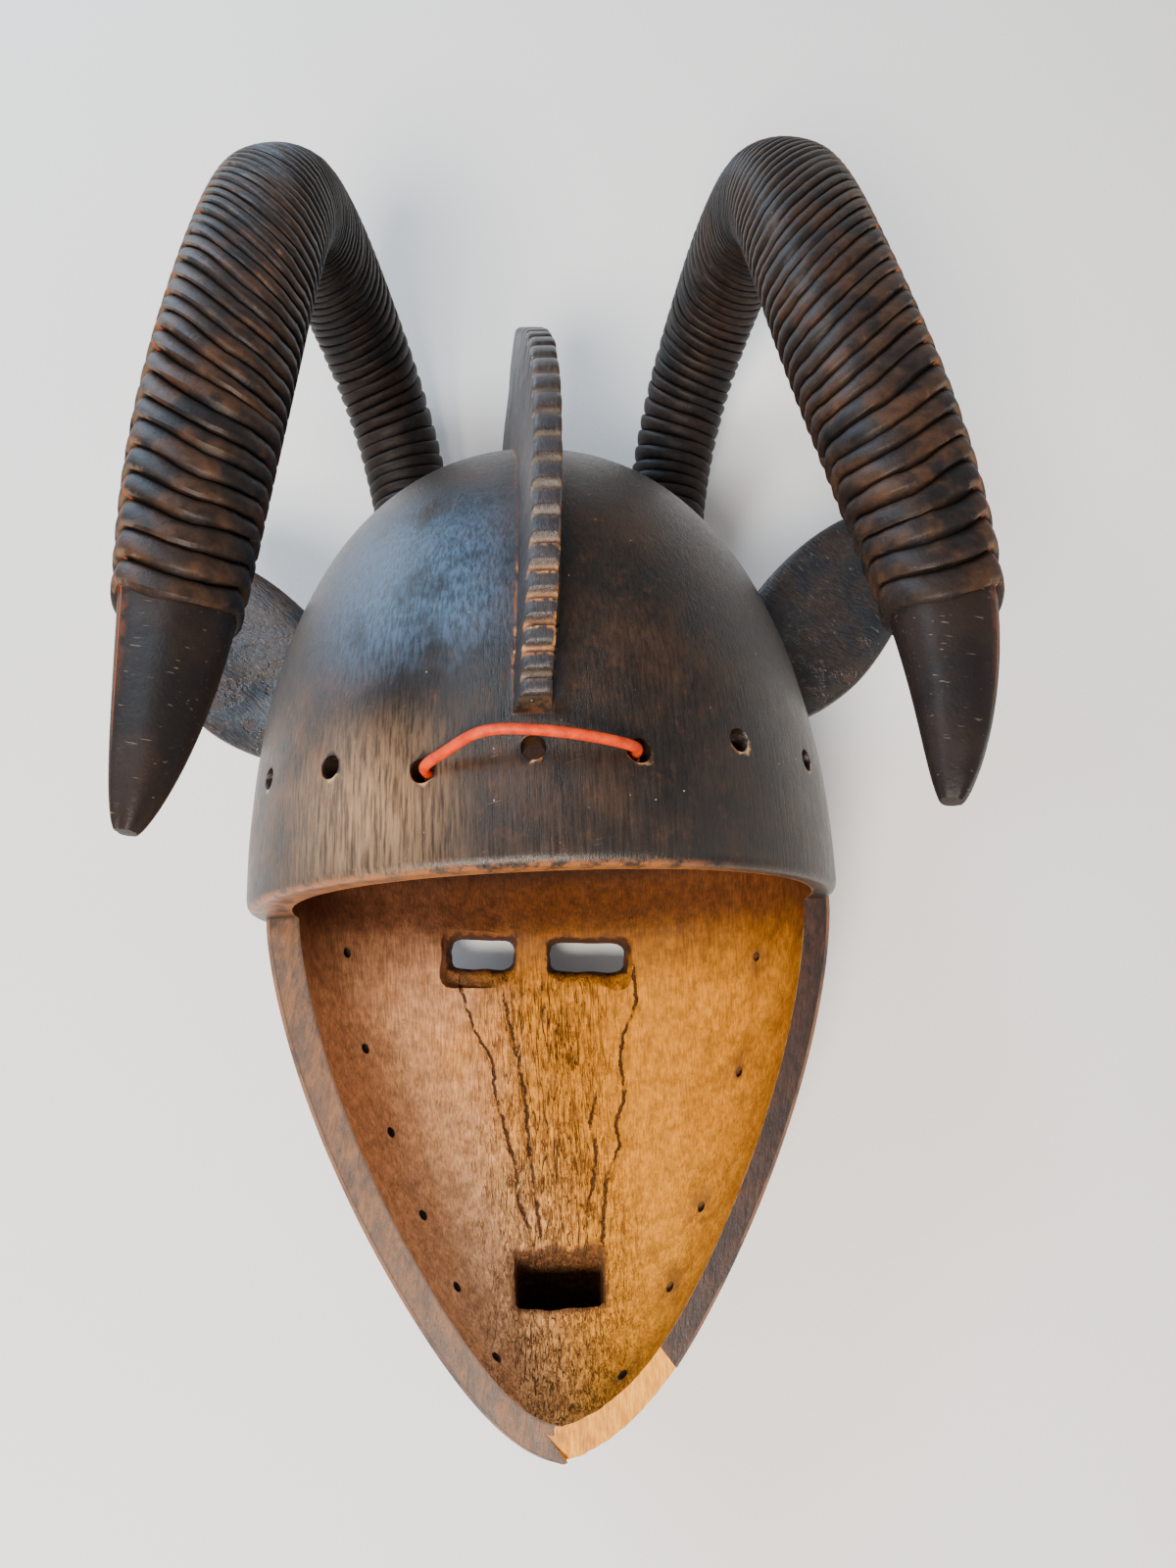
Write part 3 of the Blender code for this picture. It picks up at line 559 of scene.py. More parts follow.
def raw_wood():
    """The raw inside: ochre on the right, redder on the left, with painted shade under the cap."""
    p = Paint("raw_wood")
    cloud = p.noise(0.35, 4, 0.6)
    mottle = p.noise(2.0, 5, 0.65)
    fibre = p.noise(1.0, 4, 0.65, p.stretched((14.0, 1.0, 9.0)))
    lean = p.plus(p.x, p.times(p.plus(cloud, -0.5), 7.0))
    p.colour = p.mix(p.band(lean, -6.0, 0.0), (0.66, 0.32, 0.15), (0.62, 0.232, 0.007))
    pink = p.times(p.band(p.x, 2.5, -4.0), p.band(p.y, -6.0, -15.0))
    p.lay((0.62, 0.37, 0.215), pink, 0.8)
    # Painted shade: the inside turns dark red-brown towards the brow, under the cap
    under = p.band(p.plus(p.y, p.times(cloud, 2.0)), -2.8, 1.8)
    p.lay((0.07, 0.014, 0.003), under, 0.92)
    # Painted shade: near black higher up inside the cap
    p.lay((0.022, 0.006, 0.002), p.band(p.y, 1.6, 3.4))
    grain = p.times(p.band(mottle, 0.3, 0.7, 0.7, 1.25), p.band(fibre, 0.3, 0.7, 0.66, 1.26))
    p.shade(grain)
    middle = p.times(p.near(p.plus(p.x, p.times(cloud, 1.5)), 0.6, 4.8), p.band(p.y, -0.5, -3.0))
    wavy = p.noise(1.0, 2, 0.5, p.stretched((3.6, 0.24, 1.0)), 0.12)
    finer = p.noise(1.0, 2, 0.5, p.stretched((8.5, 0.55, 2.0)), 0.1)
    thin = p.times(p.near(wavy, 0.5, 0.026), p.band(p.noise(0.7, 2), 0.36, 0.5), middle)
    hair = p.times(p.near(finer, 0.5, 0.036), p.band(p.noise(0.9, 2), 0.4, 0.54), middle, 0.8)
    rough = p.times(middle, p.band(p.noise(1.0, 4, 0.7, p.stretched((6.0, 1.2, 3.0))), 0.5, 0.62))
    p.lay((0.21, 0.07, 0.012), rough, 0.65)
    lines = [thin, hair]
    for name in CRACKS:
        wobble = p.times(p.plus(p.noise(2.4, 3), -0.5), 0.34)
        broken = p.band(p.noise(1.1, 3), 0.34, 0.46, 0.35, 1.0)
        away = p.math("ABSOLUTE", p.plus(p.attribute(name), wobble))
        lines.append(p.times(p.band(away, 0.095, 0.03), broken))
    cracked = p.most(*lines)
    p.lay((0.028, 0.008, 0.003), cracked, 0.94)
    slanted = p.noise(1.0, 2, 0.5, p.stretched((7.0, 0.42, 2.0), 17))
    cut = p.times(p.band(slanted, 0.62, 0.68), p.band(p.x, 0.5, -1.5), p.band(p.y, -2.0, -4.0))
    p.lay((0.72, 0.45, 0.16), cut, 0.5)
    char = p.plus(p.attribute("eye_gap"), p.times(p.plus(mottle, -0.5), 0.7))
    p.lay((0.007, 0.005, 0.005), p.band(char, 0.21, 0.07))
    sooty = p.times(p.band(char, 0.42, 0.05), 0.35)
    p.lay((0.14, 0.045, 0.012), sooty)
    deep = p.plus(p.attribute("mouth_gap"), p.times(p.plus(mottle, -0.5), 0.7))
    p.lay((0.09, 0.034, 0.014), p.band(deep, 0.35, -0.02), 0.85)
    hole = p.attribute("hole_gap")
    # Painted shade: the small holes near the face's edge are near black inside
    p.lay((0.012, 0.008, 0.006), p.band(hole, 0.06, -0.01))
    stain = p.times(p.band(hole, 1.1, 0.1), p.band(p.x, 1.0, 3.0), p.band(p.noise(1.2, 3), 0.42, 0.58))
    p.lay((0.17, 0.066, 0.02), stain, 0.65)
    rim = p.times(p.band(p.attribute("arris"), 1.3, 0.4), p.band(p.x, 1.5, 3.0), p.band(p.z, -0.16, -0.06),
                  p.band(p.y, -0.6, -1.4), p.band(mottle, 0.38, 0.5))
    p.lay((0.8, 0.6, 0.34), rim, 0.75)
    height = p.plus(p.times(fibre, 0.4), p.times(mottle, 0.45), p.times(wavy, middle, 1.0),
                    p.times(rough, -0.6), p.times(cracked, -1.2), p.times(cut, 0.4))
    return p.finish(p.plus(0.6, p.times(mottle, 0.2)), height, 0.0008, 0.3)


def chip_paint():
    """Pale broken wood at the chin."""
    p = Paint("chip")
    fibre = p.noise(1.0, 4, 0.65, p.stretched((10.0, 0.9, 6.0)))
    p.colour = p.mix(p.band(fibre, 0.35, 0.65), (0.6, 0.215, 0.015), (0.86, 0.39, 0.045))
    brown = p.times(p.band(p.x, 2.6, 0.4), p.band(p.noise(1.3, 3), 0.42, 0.6), 0.6)
    p.lay((0.34, 0.12, 0.035), brown)
    return p.finish(0.7, fibre, 0.0006, 0.3)


def band_paint():
    """The flat back edge of the face: mottled on the left, dark red-brown on the right."""
    p = Paint("band")
    mottle = p.noise(1.1, 5, 0.7, p.stretched((1.6, 0.7, 1.0)))
    streak = p.noise(1.0, 4, 0.65, p.stretched((9.0, 1.3, 9.0), 12))
    left = p.mix(p.band(mottle, 0.38, 0.66), (0.075, 0.043, 0.028), (0.17, 0.072, 0.028))
    right = p.mix(p.band(mottle, 0.42, 0.62), (0.018, 0.007, 0.0045), (0.04, 0.014, 0.007))
    p.colour = p.mix(p.band(p.x, -1.0, 1.5), left, right)
    p.shade(p.band(streak, 0.3, 0.7, 0.72, 1.28))
    gap = p.attribute("arris")
    dark = p.times(p.band(gap, 1.2, 0.3), p.band(p.x, 1.0, -1.0))
    p.lay((0.03, 0.016, 0.01), dark, 0.6)
    return p.finish(p.band(streak, 0.3, 0.7, 0.42, 0.58), p.plus(streak, mottle), 0.0004, 0.4)


def cord_paint():
    p = Paint("dyed_cord")
    soft = p.noise(3.0, 3)
    p.colour = p.mix(p.band(soft, 0.35, 0.65), (0.48, 0.028, 0.002), (0.66, 0.055, 0.004))
    return p.finish(0.5, p.noise(14.0, 2), 0.0001, 0.2)


def floor_paint():
    p = Paint("floor")
    p.colour = p.mix(p.noise(0.05, 2), (0.82, 0.805, 0.785), (0.86, 0.85, 0.835))
    return p.finish(0.85, p.noise(6.0, 2), 0.0002, 0.2)


def form(name, rows, paints, slot, poles=(None, None)):
    """A closed object through rings of points, ended flat or at poles."""
    rows = np.asarray(rows, dtype=float)
    count, around = rows.shape[:2]
    points = [tuple(point) for point in rows.reshape(-1, 3)]
    faces = []
    for start in range(0, (count - 1) * around, around):
        for j in range(around):
            after = (j + 1) % around
            faces.append((start + j, start + after, start + around + after, start + around + j))
    for end, pole in ((0, poles[0]), (count - 1, poles[1])):
        ring = [end * around + j for j in range(around)]
        if pole is None:
            faces.append(tuple(ring))
            continue
        points.append(tuple(pole))
        faces += [(ring[j], ring[(j + 1) % around], len(points) - 1) for j in range(around)]
    mesh = bpy.data.meshes.new(name)
    mesh.from_pydata(points, [], faces)
    work = bmesh.new()
    work.from_mesh(mesh)
    bmesh.ops.recalc_face_normals(work, faces=work.faces)
    work.to_mesh(mesh)
    work.free()
    for paint in paints:
        mesh.materials.append(paint)
    mesh.polygons.foreach_set("material_index", [SLOTS.index(slot)] * len(mesh.polygons))
    return placed(name, mesh)


def cap_scale(y, height):
    """How wide a level of the cap is, as a share of the rim."""
    return max(1 - (max(y, 0) / height) ** CAP_ROUNDNESS, 0) ** (1 / CAP_ROUNDNESS)


def uneven(point, size, reach):
    """A small offset that changes slowly over the wood."""
    return reach * noise.noise(Vector(point) / size)


def cap_outside(paints):
    """The cap with its rounded rim."""
    levels = [(0, share) for share in (0.80, 0.86, 0.915, 0.945, 0.965, 0.978)]
    levels += [(0.0007, 0.989), (0.0020, 0.9965), (0.0042, 1.0)]
    for k in range(1, CAP_ROWS):
        level = CAP_HEIGHT * math.sin(math.pi / 2 * k / CAP_ROWS) ** (2 / CAP_ROUNDNESS)
        if level > 0.0055:
            levels.append((level, 1.0))
    rows = []
    for y, share in levels:
        scale = cap_scale(y, CAP_HEIGHT) * share
        ring = []
        for k in range(AROUND_CAP):
            angle = math.tau * k / AROUND_CAP
            x, z = CAP_HALF_WIDTH * scale * math.sin(angle), CAP_HALF_DEPTH * scale * math.cos(angle)
            grow = 1 + uneven((x, y, z), 0.03, 0.0045) * min(y / 0.02, 1)
            ring.append((x * grow, y, z * grow))
        rows.append(ring)
    return form("cap", rows, paints, "patina", ((0, 0, 0), (0, CAP_HEIGHT, 0)))


def slant(shift, share):
    """The carver's slant of the face to one side, gone again at the point of the chin."""
    return shift * (1 - share ** 16)


def face_taper(share):
    """Width of the face as a share of the brow's, from the brow (0) to the chin (1)."""
    return (1 - share ** FACE_TAPER) ** FACE_ROUNDNESS + CHIN_FULLNESS * share ** 8 * math.sqrt(1 - share)


def face_front(y):
    """How far the front of the face is from its back edge at a level."""
    return FACE_DEPTH * (1 - (max(-y, 0) / FACE_LENGTH) ** 2) ** PROFILE_ROUNDNESS


def face_outside(paints):
    """The half shell of the face, flat behind, with a rounded outer edge."""
    steps, arc, back = 74, 72, 60
    soft = 0.0016
    rows = []
    for k in range(steps):
        share = math.sin(math.pi / 2 * k / steps)
        y = -FACE_LENGTH * share if k else FACE_SINK
        wide = FACE_HALF_WIDTH * face_taper(share)
        deep = face_front(y)
        shift = slant(FACE_SHIFT, share)
        ring = []
        for step in range(arc + 1):
            angle = math.pi * (step / arc - 0.5)
            x = wide * power(math.sin(angle), 2 / SECTION_ROUNDNESS)
            z = -deep * max(math.cos(angle), 0) ** (2 / SECTION_ROUNDNESS)
            grow = uneven((x, y, z), 0.014, 0.0006) * min(max(-z, 0) / 0.01, 1)
            ring.append((x * (1 + grow / 0.05) + shift, y, min(z, -soft)))
        inset = max(wide - soft, wide * 0.5)
        for step in range(back + 1):
            ring.append((inset * (1 - 2 * step / back) + shift, y, 0))
        rows.append(ring)
    ends = ((0, FACE_SINK, -FACE_DEPTH / 2), (0, -FACE_LENGTH, -soft / 2))
    return form("face", rows, paints, "patina", ends)


def inner_ring(y):
    """One level of the hollow: half width, depth behind and before, and shift."""
    deep = CAP_HALF_DEPTH - CAP_WALL
    front = FACE_DEPTH - FACE_FRONT_WALL
    if y >= 0:
        scale = cap_scale(y, CAP_HEIGHT - CAP_WALL)
        fade = max(1 - y / BROW_FADE, 0) ** 2
        wide = (CAP_HALF_WIDTH - CAP_WALL) * scale
        before = deep * scale - (deep - front) * fade
        return wide - BROW_INSET * fade, deep * scale, before, HOLLOW_SHIFT * fade
    share = -y / (FACE_LENGTH - CHIN_WALL)
    wide = (FACE_HALF_WIDTH - FACE_SIDE_WALL) * face_taper(share)
    front *= (1 - share ** 2) ** HOLLOW_ROUNDNESS
    return wide, deep * (1 - share) + HOLLOW_BACK, front, slant(HOLLOW_SHIFT, share)


def crack_side(name, x, y):
    """Distance to one side of a crack, in centimetres, large above and below its ends."""
    route = sorted(CRACKS[name], key=lambda point: point[1])
    levels = [point[1] for point in route]
    middle = np.interp(y, levels, [point[0] for point in route])
    past = np.maximum(np.maximum(levels[0] - y, y - levels[-1]), 0)
    return 100 * ((x - middle) + np.sign(x - middle + 1e-9) * past)


def hollow(paints):
    """The hollow, with the facets of the adze, the rough middle and the long cracks."""
    low, high = CHIN_WALL - FACE_LENGTH, CAP_HEIGHT - CAP_WALL
    levels = [low * math.sin(math.pi / 2 * k / HOLLOW_ROWS) for k in range(HOLLOW_ROWS - 1, 0, -1)]
    steps = 34
    levels += [high * math.sin(math.pi / 2 * k / steps) ** (2 / CAP_ROUNDNESS) for k in range(steps)]
    front_steps, back_steps = 124, 36
    angles = []
    for k in range(front_steps):
        share = 2 * k / front_steps - 1
        angles.append(math.pi + math.pi / 2 * (0.62 * share + 0.38 * share ** 3))
    angles += [1.5 * math.pi + math.pi * k / back_steps for k in range(back_steps)]
    rows = []
    for y in levels:
        wide, back, front, shift = inner_ring(y)
        into_cap = min(max(y, 0) / BROW_FADE, 1)
        roundness = SECTION_ROUNDNESS + (CAP_SECTION_ROUNDNESS - SECTION_ROUNDNESS) * into_cap
        ring = []
        for angle in angles:
            side = float(power(math.sin(angle), 2 / roundness))
            along = float(power(math.cos(angle), 2 / roundness))
            x, z = wide * side + shift, along * (back if along > 0 else front)
            cut = carving(x, y, z) if z < 0 else 0.0
            ring.append((x + side * cut, y, z + along * cut))
        rows.append(ring)
    return form("hollow", rows, paints, "raw_wood", ((0, low, 0), (0, high, 0)))


def carving(x, y, z):
    """How much deeper than its smooth form the hollow is cut at a point."""
    fade = min(max(-z / 0.012, 0), 1)
    turned = Vector((x * 0.95 + y * 0.3, y * 0.95 - x * 0.3, z))
    shrunk = Vector((turned.x / FACET_WIDTH, turned.y / FACET_LENGTH, turned.z / FACET_WIDTH))
    facet = noise.voronoi(shrunk)[0][0]
    cut = FACET_DEPTH * (0.35 - facet ** 2)
    if y < 0:
        middle = math.exp(-((x - ROUGH_MIDDLE) / ROUGH_REACH) ** 2)
        cut += ROUGH_DEPTH * middle * noise.noise(Vector((x / 0.0035, y / 0.018, 3.0)))
        for name in CRACKS:
            gap = abs(float(crack_side(name, x, y))) / 100
            cut += CRACK_DEPTH * math.exp(-(gap / CRACK_WIDTH) ** 2)
    return cut * fade


def horn_path(leans):
    """The middle line of a right horn: places along it, its points, heading and lean."""
    grid = np.linspace(-HORN_SINK, HORN_LENGTH, HORN_GRID)
    share = grid / HORN_LENGTH
    bend = np.tanh((share - HORN_BEND_PLACE) / HORN_BEND_SPREAD)
    low = math.tanh(-HORN_BEND_PLACE / HORN_BEND_SPREAD)
    high = math.tanh((1 - HORN_BEND_PLACE) / HORN_BEND_SPREAD)
    first, last = HORN_HEADINGS
    heading = np.radians(first + (last - first) * (bend - low) / (high - low))
    lean = np.radians(np.interp(share, np.linspace(0, 1, len(leans)), leans))
    window = np.hanning(2 * LEAN_BLEND + 1)
    lean = np.convolve(np.pad(lean, LEAN_BLEND, mode="edge"), window / window.sum(), mode="valid")
    step = np.column_stack([
        np.sin(lean), np.cos(lean) * np.cos(heading), np.cos(lean) * np.sin(heading)])
    path = np.vstack([[0, 0, 0], np.cumsum((step[1:] + step[:-1]) / 2, axis=0) * (grid[1] - grid[0])])
    at_root = np.array([np.interp(0, grid, path[:, axis]) for axis in range(3)])
    return grid, path + np.array(HORN_ROOT) - at_root, heading, lean


def horn_radius(places):
    """Radius of the horn on the crests of its scales, at each of some places."""
    share = np.clip(places / HORN_LENGTH, 0, 1)
    body = HORN_ROOT_RADIUS + (HORN_MIDDLE_RADIUS - HORN_ROOT_RADIUS) * np.minimum(share / 0.5, 1)
    tip = np.maximum((share - TAPER_START) / (1 - TAPER_START), 0)
    return body * (TIP_SHARE + (1 - TIP_SHARE) * np.maximum(1 - tip ** 2.5, 0) ** 0.7)


def horn_shape(angle):
    """A rounded diamond with a keel at angle 0, as a share of the radius."""
    size = abs(math.cos(angle)) ** HORN_ROUNDNESS + abs(math.sin(angle)) ** HORN_ROUNDNESS
    return size ** (-1 / HORN_ROUNDNESS) * (1 + KEEL_RISE * max(math.cos(angle), 0) ** 12)


def along_horn(pairs, place):
    """A value at a place along a horn, from its (share, value) pairs."""
    return float(np.interp(place / HORN_LENGTH, *zip(*pairs)))


def scale_shift(angles, slope):
    """How far along the horn a scale lies at each angle from the keel, in radii.

    The scale runs evenly down the viewed side, from the keel to the inner edge, falls
    a little on the keel's other side, and closes behind.
    """
    lean, rest = SIDE_LEAN

    def viewed(turn):
        return (lean * (math.sin(turn) - 1) - slope * math.cos(turn)) / rest

    edge, keel = viewed(math.pi), viewed(math.pi / 4)
    knots = [(-180, edge * 0.75 + keel * 0.125), (-135, edge), (-112.5, viewed(math.radians(157.5))),
             (-90, viewed(math.radians(135))), (-67.5, viewed(math.radians(112.5))), (-45, 0.0),
             (-22.5, viewed(math.radians(67.5))), (0, keel), (45, keel * 0.5),
             (112.5, edge * 0.4 + keel * 0.3), (180, edge * 0.75 + keel * 0.125)]
    wrapped = np.degrees((angles + math.pi) % math.tau - math.pi)
    return np.interp(wrapped, *zip(*knots))


def scale_starts(ringed, draw):
    """Where the carved scales start along a horn, and where the last one ends."""
    starts = [RING_START]
    while starts[-1] < ringed:
        starts.append(starts[-1] + along_horn(SCALE_PITCHES, starts[-1]) * draw.uniform(0.88, 1.12))
    starts = np.array(starts)
    return RING_START + (starts - RING_START) * (ringed - RING_START) / (starts[-1] - RING_START)


def horn(name, paints, side, leans, ringed_share, seed):
    """One horn with its overlapping scales: side is 1 on the right and -1 on the left."""
    draw = random.Random(seed)
    ringed = ringed_share * HORN_LENGTH
    starts = scale_starts(ringed, draw)
    # Each station: place, depth of the cut, groove, worn edge, number of its scale
    stations = [(-HORN_SINK, RING_DEPTH, 1.0, 0.0, 0)]
    for k, (start, end) in enumerate(zip(starts, starts[1:])):
        depth = along_horn(SCALE_DEPTHS, start) * draw.uniform(0.85, 1.12)
        for part, cut, worn in SCALE_PROFILE:
            stations.append((start + (end - start) * part, depth * cut, cut, worn, k))
    stations.append((ringed, RING_DEPTH, 0.6, 0.0, len(starts)))
    for k in range(1, TIP_ROWS):
        along = math.sin(math.pi / 2 * k / TIP_ROWS)
        stations.append((ringed + (HORN_LENGTH - ringed) * along, RING_DEPTH, 0.0, 0.0, len(starts)))
    turns = [math.tau * k / AROUND_HORN for k in range(AROUND_HORN)]
    angles = np.array([turn - 0.42 * math.sin(turn) for turn in turns])
    round_horn = [(math.cos(angle) * 1.1, math.sin(angle) * 1.1) for angle in angles]
    shape = np.array([horn_shape(angle) for angle in angles])
    keel = np.exp(-(np.minimum(angles, math.tau - angles) / 0.30) ** 2)
    places, radii, values = [], [], {key: [] for key in HORN_VALUES}
    for place, cut, groove, worn, number in stations:
        full = max(min((place + HORN_SINK) / SLANT_FADE, 1 - (place - ringed) / SLANT_FADE, 1), 0)
        tilt = float(horn_radius(place)) * along_horn(SLANTED, place) * full
        ripple = np.array([noise.noise(Vector((*spot, number * 0.9 + seed))) for spot in round_horn])
        shift = tilt * scale_shift(angles, along_horn(SCALE_SLOPES, place)) + 0.0011 * ripple * full
        shifted = np.clip(place + shift, -HORN_SINK, HORN_LENGTH)
        places.append(shifted)
        radii.append((horn_radius(shifted) - cut * (1 + 0.5 * ripple)) * shape)
        past = number == len(starts)
        for key, value in (("groove", groove), ("edge", worn), ("keel", keel), ("tip", past),
                           ("along", max(place, 0) / HORN_LENGTH)):
            values[key].append(np.zeros(AROUND_HORN) + value)
    places, radii = np.array(places), np.array(radii)
    grid, path, heading, lean = horn_path(leans)
    centre = np.stack([np.interp(places, grid, path[:, axis]) for axis in range(3)], axis=-1)
    turn, lean = np.interp(places, grid, heading), np.interp(places, grid, lean)
    outward = np.stack([np.zeros_like(turn), np.sin(turn), -np.cos(turn)], axis=-1)
    sideways = np.stack([np.cos(lean), -np.sin(lean) * np.cos(turn), -np.sin(lean) * np.sin(turn)], axis=-1)
    turned = angles + math.radians(KEEL_TURN)
    reach = outward * np.cos(turned)[None, :, None] + sideways * np.sin(turned)[None, :, None]
    rows = centre + reach * radii[..., None]
    ends = np.array([[np.interp(place, grid, path[:, axis]) for axis in range(3)]
                     for place in (-HORN_SINK, HORN_LENGTH)])
    for points in (rows, ends):
        points[..., 0] = side * points[..., 0] + HORN_SHIFT
    MARKS.append((rows, values))
    return form(name, rows, paints, "horn", ends)


def crest_rise(share):
    """Height of the teeth's tops over the cap, from the low end to the high one."""
    low, middle, high = CREST_RISES
    return low + middle * share + high * share ** CREST_TOP_SHARPNESS


def crest_point(angle, rise):
    """A point over the cap's middle curve, from behind (angle 0) over the crown."""
    up, back = math.sin(angle), math.cos(angle)
    size = (up / CAP_HEIGHT) ** CAP_ROUNDNESS + abs(back / CAP_HALF_DEPTH) ** CAP_ROUNDNESS
    radius = size ** (-1 / CAP_ROUNDNESS) + rise
    return radius * up, radius * back


def crest(paints):
    """The toothed blade, with rounded teeth and corners."""
    first, last = math.radians(CREST_START), math.radians(CREST_END)
    rim = [crest_point(first + (last - first) * k / CREST_STEPS, crest_rise(k / CREST_STEPS))
           for k in range(CREST_STEPS + 1)]
    run = sum(math.dist(a, b) for a, b in zip(rim, rim[1:]))
    teeth = round(run / TOOTH_PITCH)
    rows, notched = [], []
    for k in range(teeth):
        for part, cut in TOOTH_PROFILE:
            share = (k + part) / teeth
            angle = first + (last - first) * share
            uncut = TOOTH_DEPTH * cut * (1 + uneven((k, 0.3, 0.7), 1.0, 0.25))
            high = crest_rise(share) - uncut
            past = max(share * run - (run - CREST_CORNER), 0) / CREST_CORNER
            high -= CREST_CORNER * (1 - math.sqrt(max(1 - past ** 2, 0)))
            half, base = CREST_THICKNESS / 2, CREST_BASE_THICKNESS / 2
            groove = min(max(cut, 0), 1)
            corner = 0.0021 - 0.0012 * groove
            side = [(base + (half - base) * t, -CAP_WALL + (high - corner + CAP_WALL) * t)
                    for t in (0, 0.3, 0.5, 0.7, 0.85, 1)]
            side += [(half - corner * (1 - math.cos(turn)), high - corner * (1 - math.sin(turn)))
                     for turn in (math.pi / 6, math.pi / 3, math.pi / 2)]
            section = [(-x, rise) for x, rise in side] + side[::-1]
            ring = []
            for x, rise in section:
                y, z = crest_point(angle, rise)
                x += CREST_OFFSET + CREST_LEAN * y + CREST_SKEW * z
                ring.append((x + uneven((x, y, z), 0.012, 0.0005), y, z))
            rows.append(ring)
            middle = (len(section) - 1) / 2
            notched.append([groove * (abs(place - middle) < 3.2) for place in range(len(section))])
    MARKS.append((np.array(rows), {"groove": notched, "crest": np.ones((len(rows), len(rows[0])))}))
    return form("crest", rows, paints, "patina")


def ear(name, paints, root, tip, half_width):
    """A thick leaf with a shallow fold along its middle."""
    start, end = Vector((*root, EAR_BACK)), Vector((*tip, EAR_BACK))
    along = end - start
    across = Vector((-along.y, along.x, 0)).normalized()
    rows = []
    for k in range(EAR_ROWS):
        share = k / EAR_ROWS
        before = max(1 - share / EAR_WIDEST, 0)
        past = max(share - EAR_WIDEST, 0) / (1 - EAR_WIDEST)
        wide = half_width * math.sqrt(1 - past ** 2) * (1 - EAR_ROOT_TAPER * before ** 2)
        thick = EAR_THICKNESS / 2 * (1 - EAR_TIP_THINNING * share)
        ring = []
        for step in range(AROUND_EAR):
            angle = math.tau * step / AROUND_EAR
            middle = start + along * share
            fold = EAR_FOLD * math.exp(-(math.cos(angle) / 0.5) ** 2) * min(share / 0.2, 1)
            rise = (thick - fold * (math.sin(angle) > 0)) * power(math.sin(angle), 0.85)
            ring.append(middle + across * wide * math.cos(angle) + Vector((0, 0, rise)))
        rows.append(ring)
    return form(name, rows, paints, "ear", (start, end))


def nose(paints):
    """The long ridge from the brow to the mouth, rounded on top."""
    rows = []
    half, steps = NOSE_WIDTH / 2, 40
    end = snout_frame()[0].y + NOSE_OVER_MOUTH
    section = [(-1, 0), (-1, 0.5), (-0.97, 0.82), (-0.8, 0.96), (-0.4, 1), (0.4, 1), (0.8, 0.96),
               (0.97, 0.82), (1, 0.5), (1, 0)]
    for k in range(steps + 1):
        along = k / steps
        y = FACE_SINK + (end - FACE_SINK) * along
        middle = NOSE_TOP + (MOUTH_MIDDLE - NOSE_TOP) * along
        inside = -face_front(y) + FACE_FRONT_WALL / 2
        reach = NOSE_RISE + FACE_FRONT_WALL / 2
        rows.append([(middle + half * x, y, inside - reach * rise) for x, rise in section])
    return form("nose", rows, paints, "patina")


def snout_frame():
    """The mouth's middle on the inner face, its direction and the direction of its height."""
    droop = math.radians(SNOUT_DROOP)
    level = MOUTH_OVER_CHIN - FACE_LENGTH
    _, _, front, _ = inner_ring(level)
    start = Vector((MOUTH_MIDDLE, level, MOUTH_BACK - front))
    along = Vector((0, -math.sin(droop), -math.cos(droop)))
    return start, along, Vector((0, math.cos(droop), -math.sin(droop)))


def rounded_box(count, squareness):
    """Points round a box of half sizes 1, with rounded corners."""
    points = []
    for k in range(count):
        angle = math.tau * (k + 0.5) / count
        x, y = math.cos(angle), math.sin(angle)
        size = (abs(x) ** squareness + abs(y) ** squareness) ** (-1 / squareness)
        points.append((x * size, y * size))
    return points


def snout(paints):
    """The mouth's box with its lips, flat in front where the mask rests on it."""
    start, along, up = snout_frame()
    level = AXES.inverted() @ Vector((0, 0, 0))
    down = (AXES.inverted().to_3x3() @ Vector((0, 0, 1))).normalized()

    def front(point):
        return (level - point).dot(down) / along.dot(down)

    soft = 0.0018
    stations = [(0, None), (0, 0.055), (0, 0.035), (0, LIP_LENGTH + 0.003), (0.0004, LIP_LENGTH + 0.0012),
                (LIP_RISE / 2, LIP_LENGTH + 0.0002), (LIP_RISE - 0.0004, LIP_LENGTH - 0.0008),
                (LIP_RISE, LIP_LENGTH - 0.0022), (LIP_RISE, soft), (LIP_RISE - 0.0005, soft / 3),
                (LIP_RISE - soft, 0)]
    rows = []
    for grow, back in stations:
        ring = []
        for x, rise in rounded_box(64, 9):
            corner = start + Vector((x * (SNOUT_WIDTH / 2 + grow), 0, 0))
            corner += up * rise * (SNOUT_HEIGHT / 2 + grow)
            ring.append(corner + along * (SNOUT_START if back is None else front(corner) - back))
        rows.append(ring)
    ends = (start + along * SNOUT_START, start + along * front(start))
    return form("snout", rows, paints, "patina", ends)


def cap_hole_point(index):
    angle = math.radians(CAP_HOLE_ANGLES[index])
    y = CAP_HOLE_HEIGHTS[index]
    scale = cap_scale(y, CAP_HEIGHT)
    point = Vector((CAP_HALF_WIDTH * scale * math.sin(angle), y, CAP_HALF_DEPTH * scale * math.cos(angle)))
    return point, Vector((math.sin(angle), 0, math.cos(angle)))


def edge_hole_points():
    """Middle and direction of each small hole near the face's edge, on the inner face."""
    found = []
    turn = math.radians(EDGE_HOLE_ANGLE)
    for side, shares in ((-1, LEFT_EDGE_HOLES), (1, RIGHT_EDGE_HOLES)):
        for share in shares:
            y = (CHIN_WALL - FACE_LENGTH) * share
            wide, _, front, shift = inner_ring(y)
            point = Vector((side * wide * math.cos(turn) + shift, y, -front * math.sin(turn)))
            direction = Vector((side * math.cos(turn), -share ** 3, -math.sin(turn))).normalized()
            found.append((point, direction))
    return found


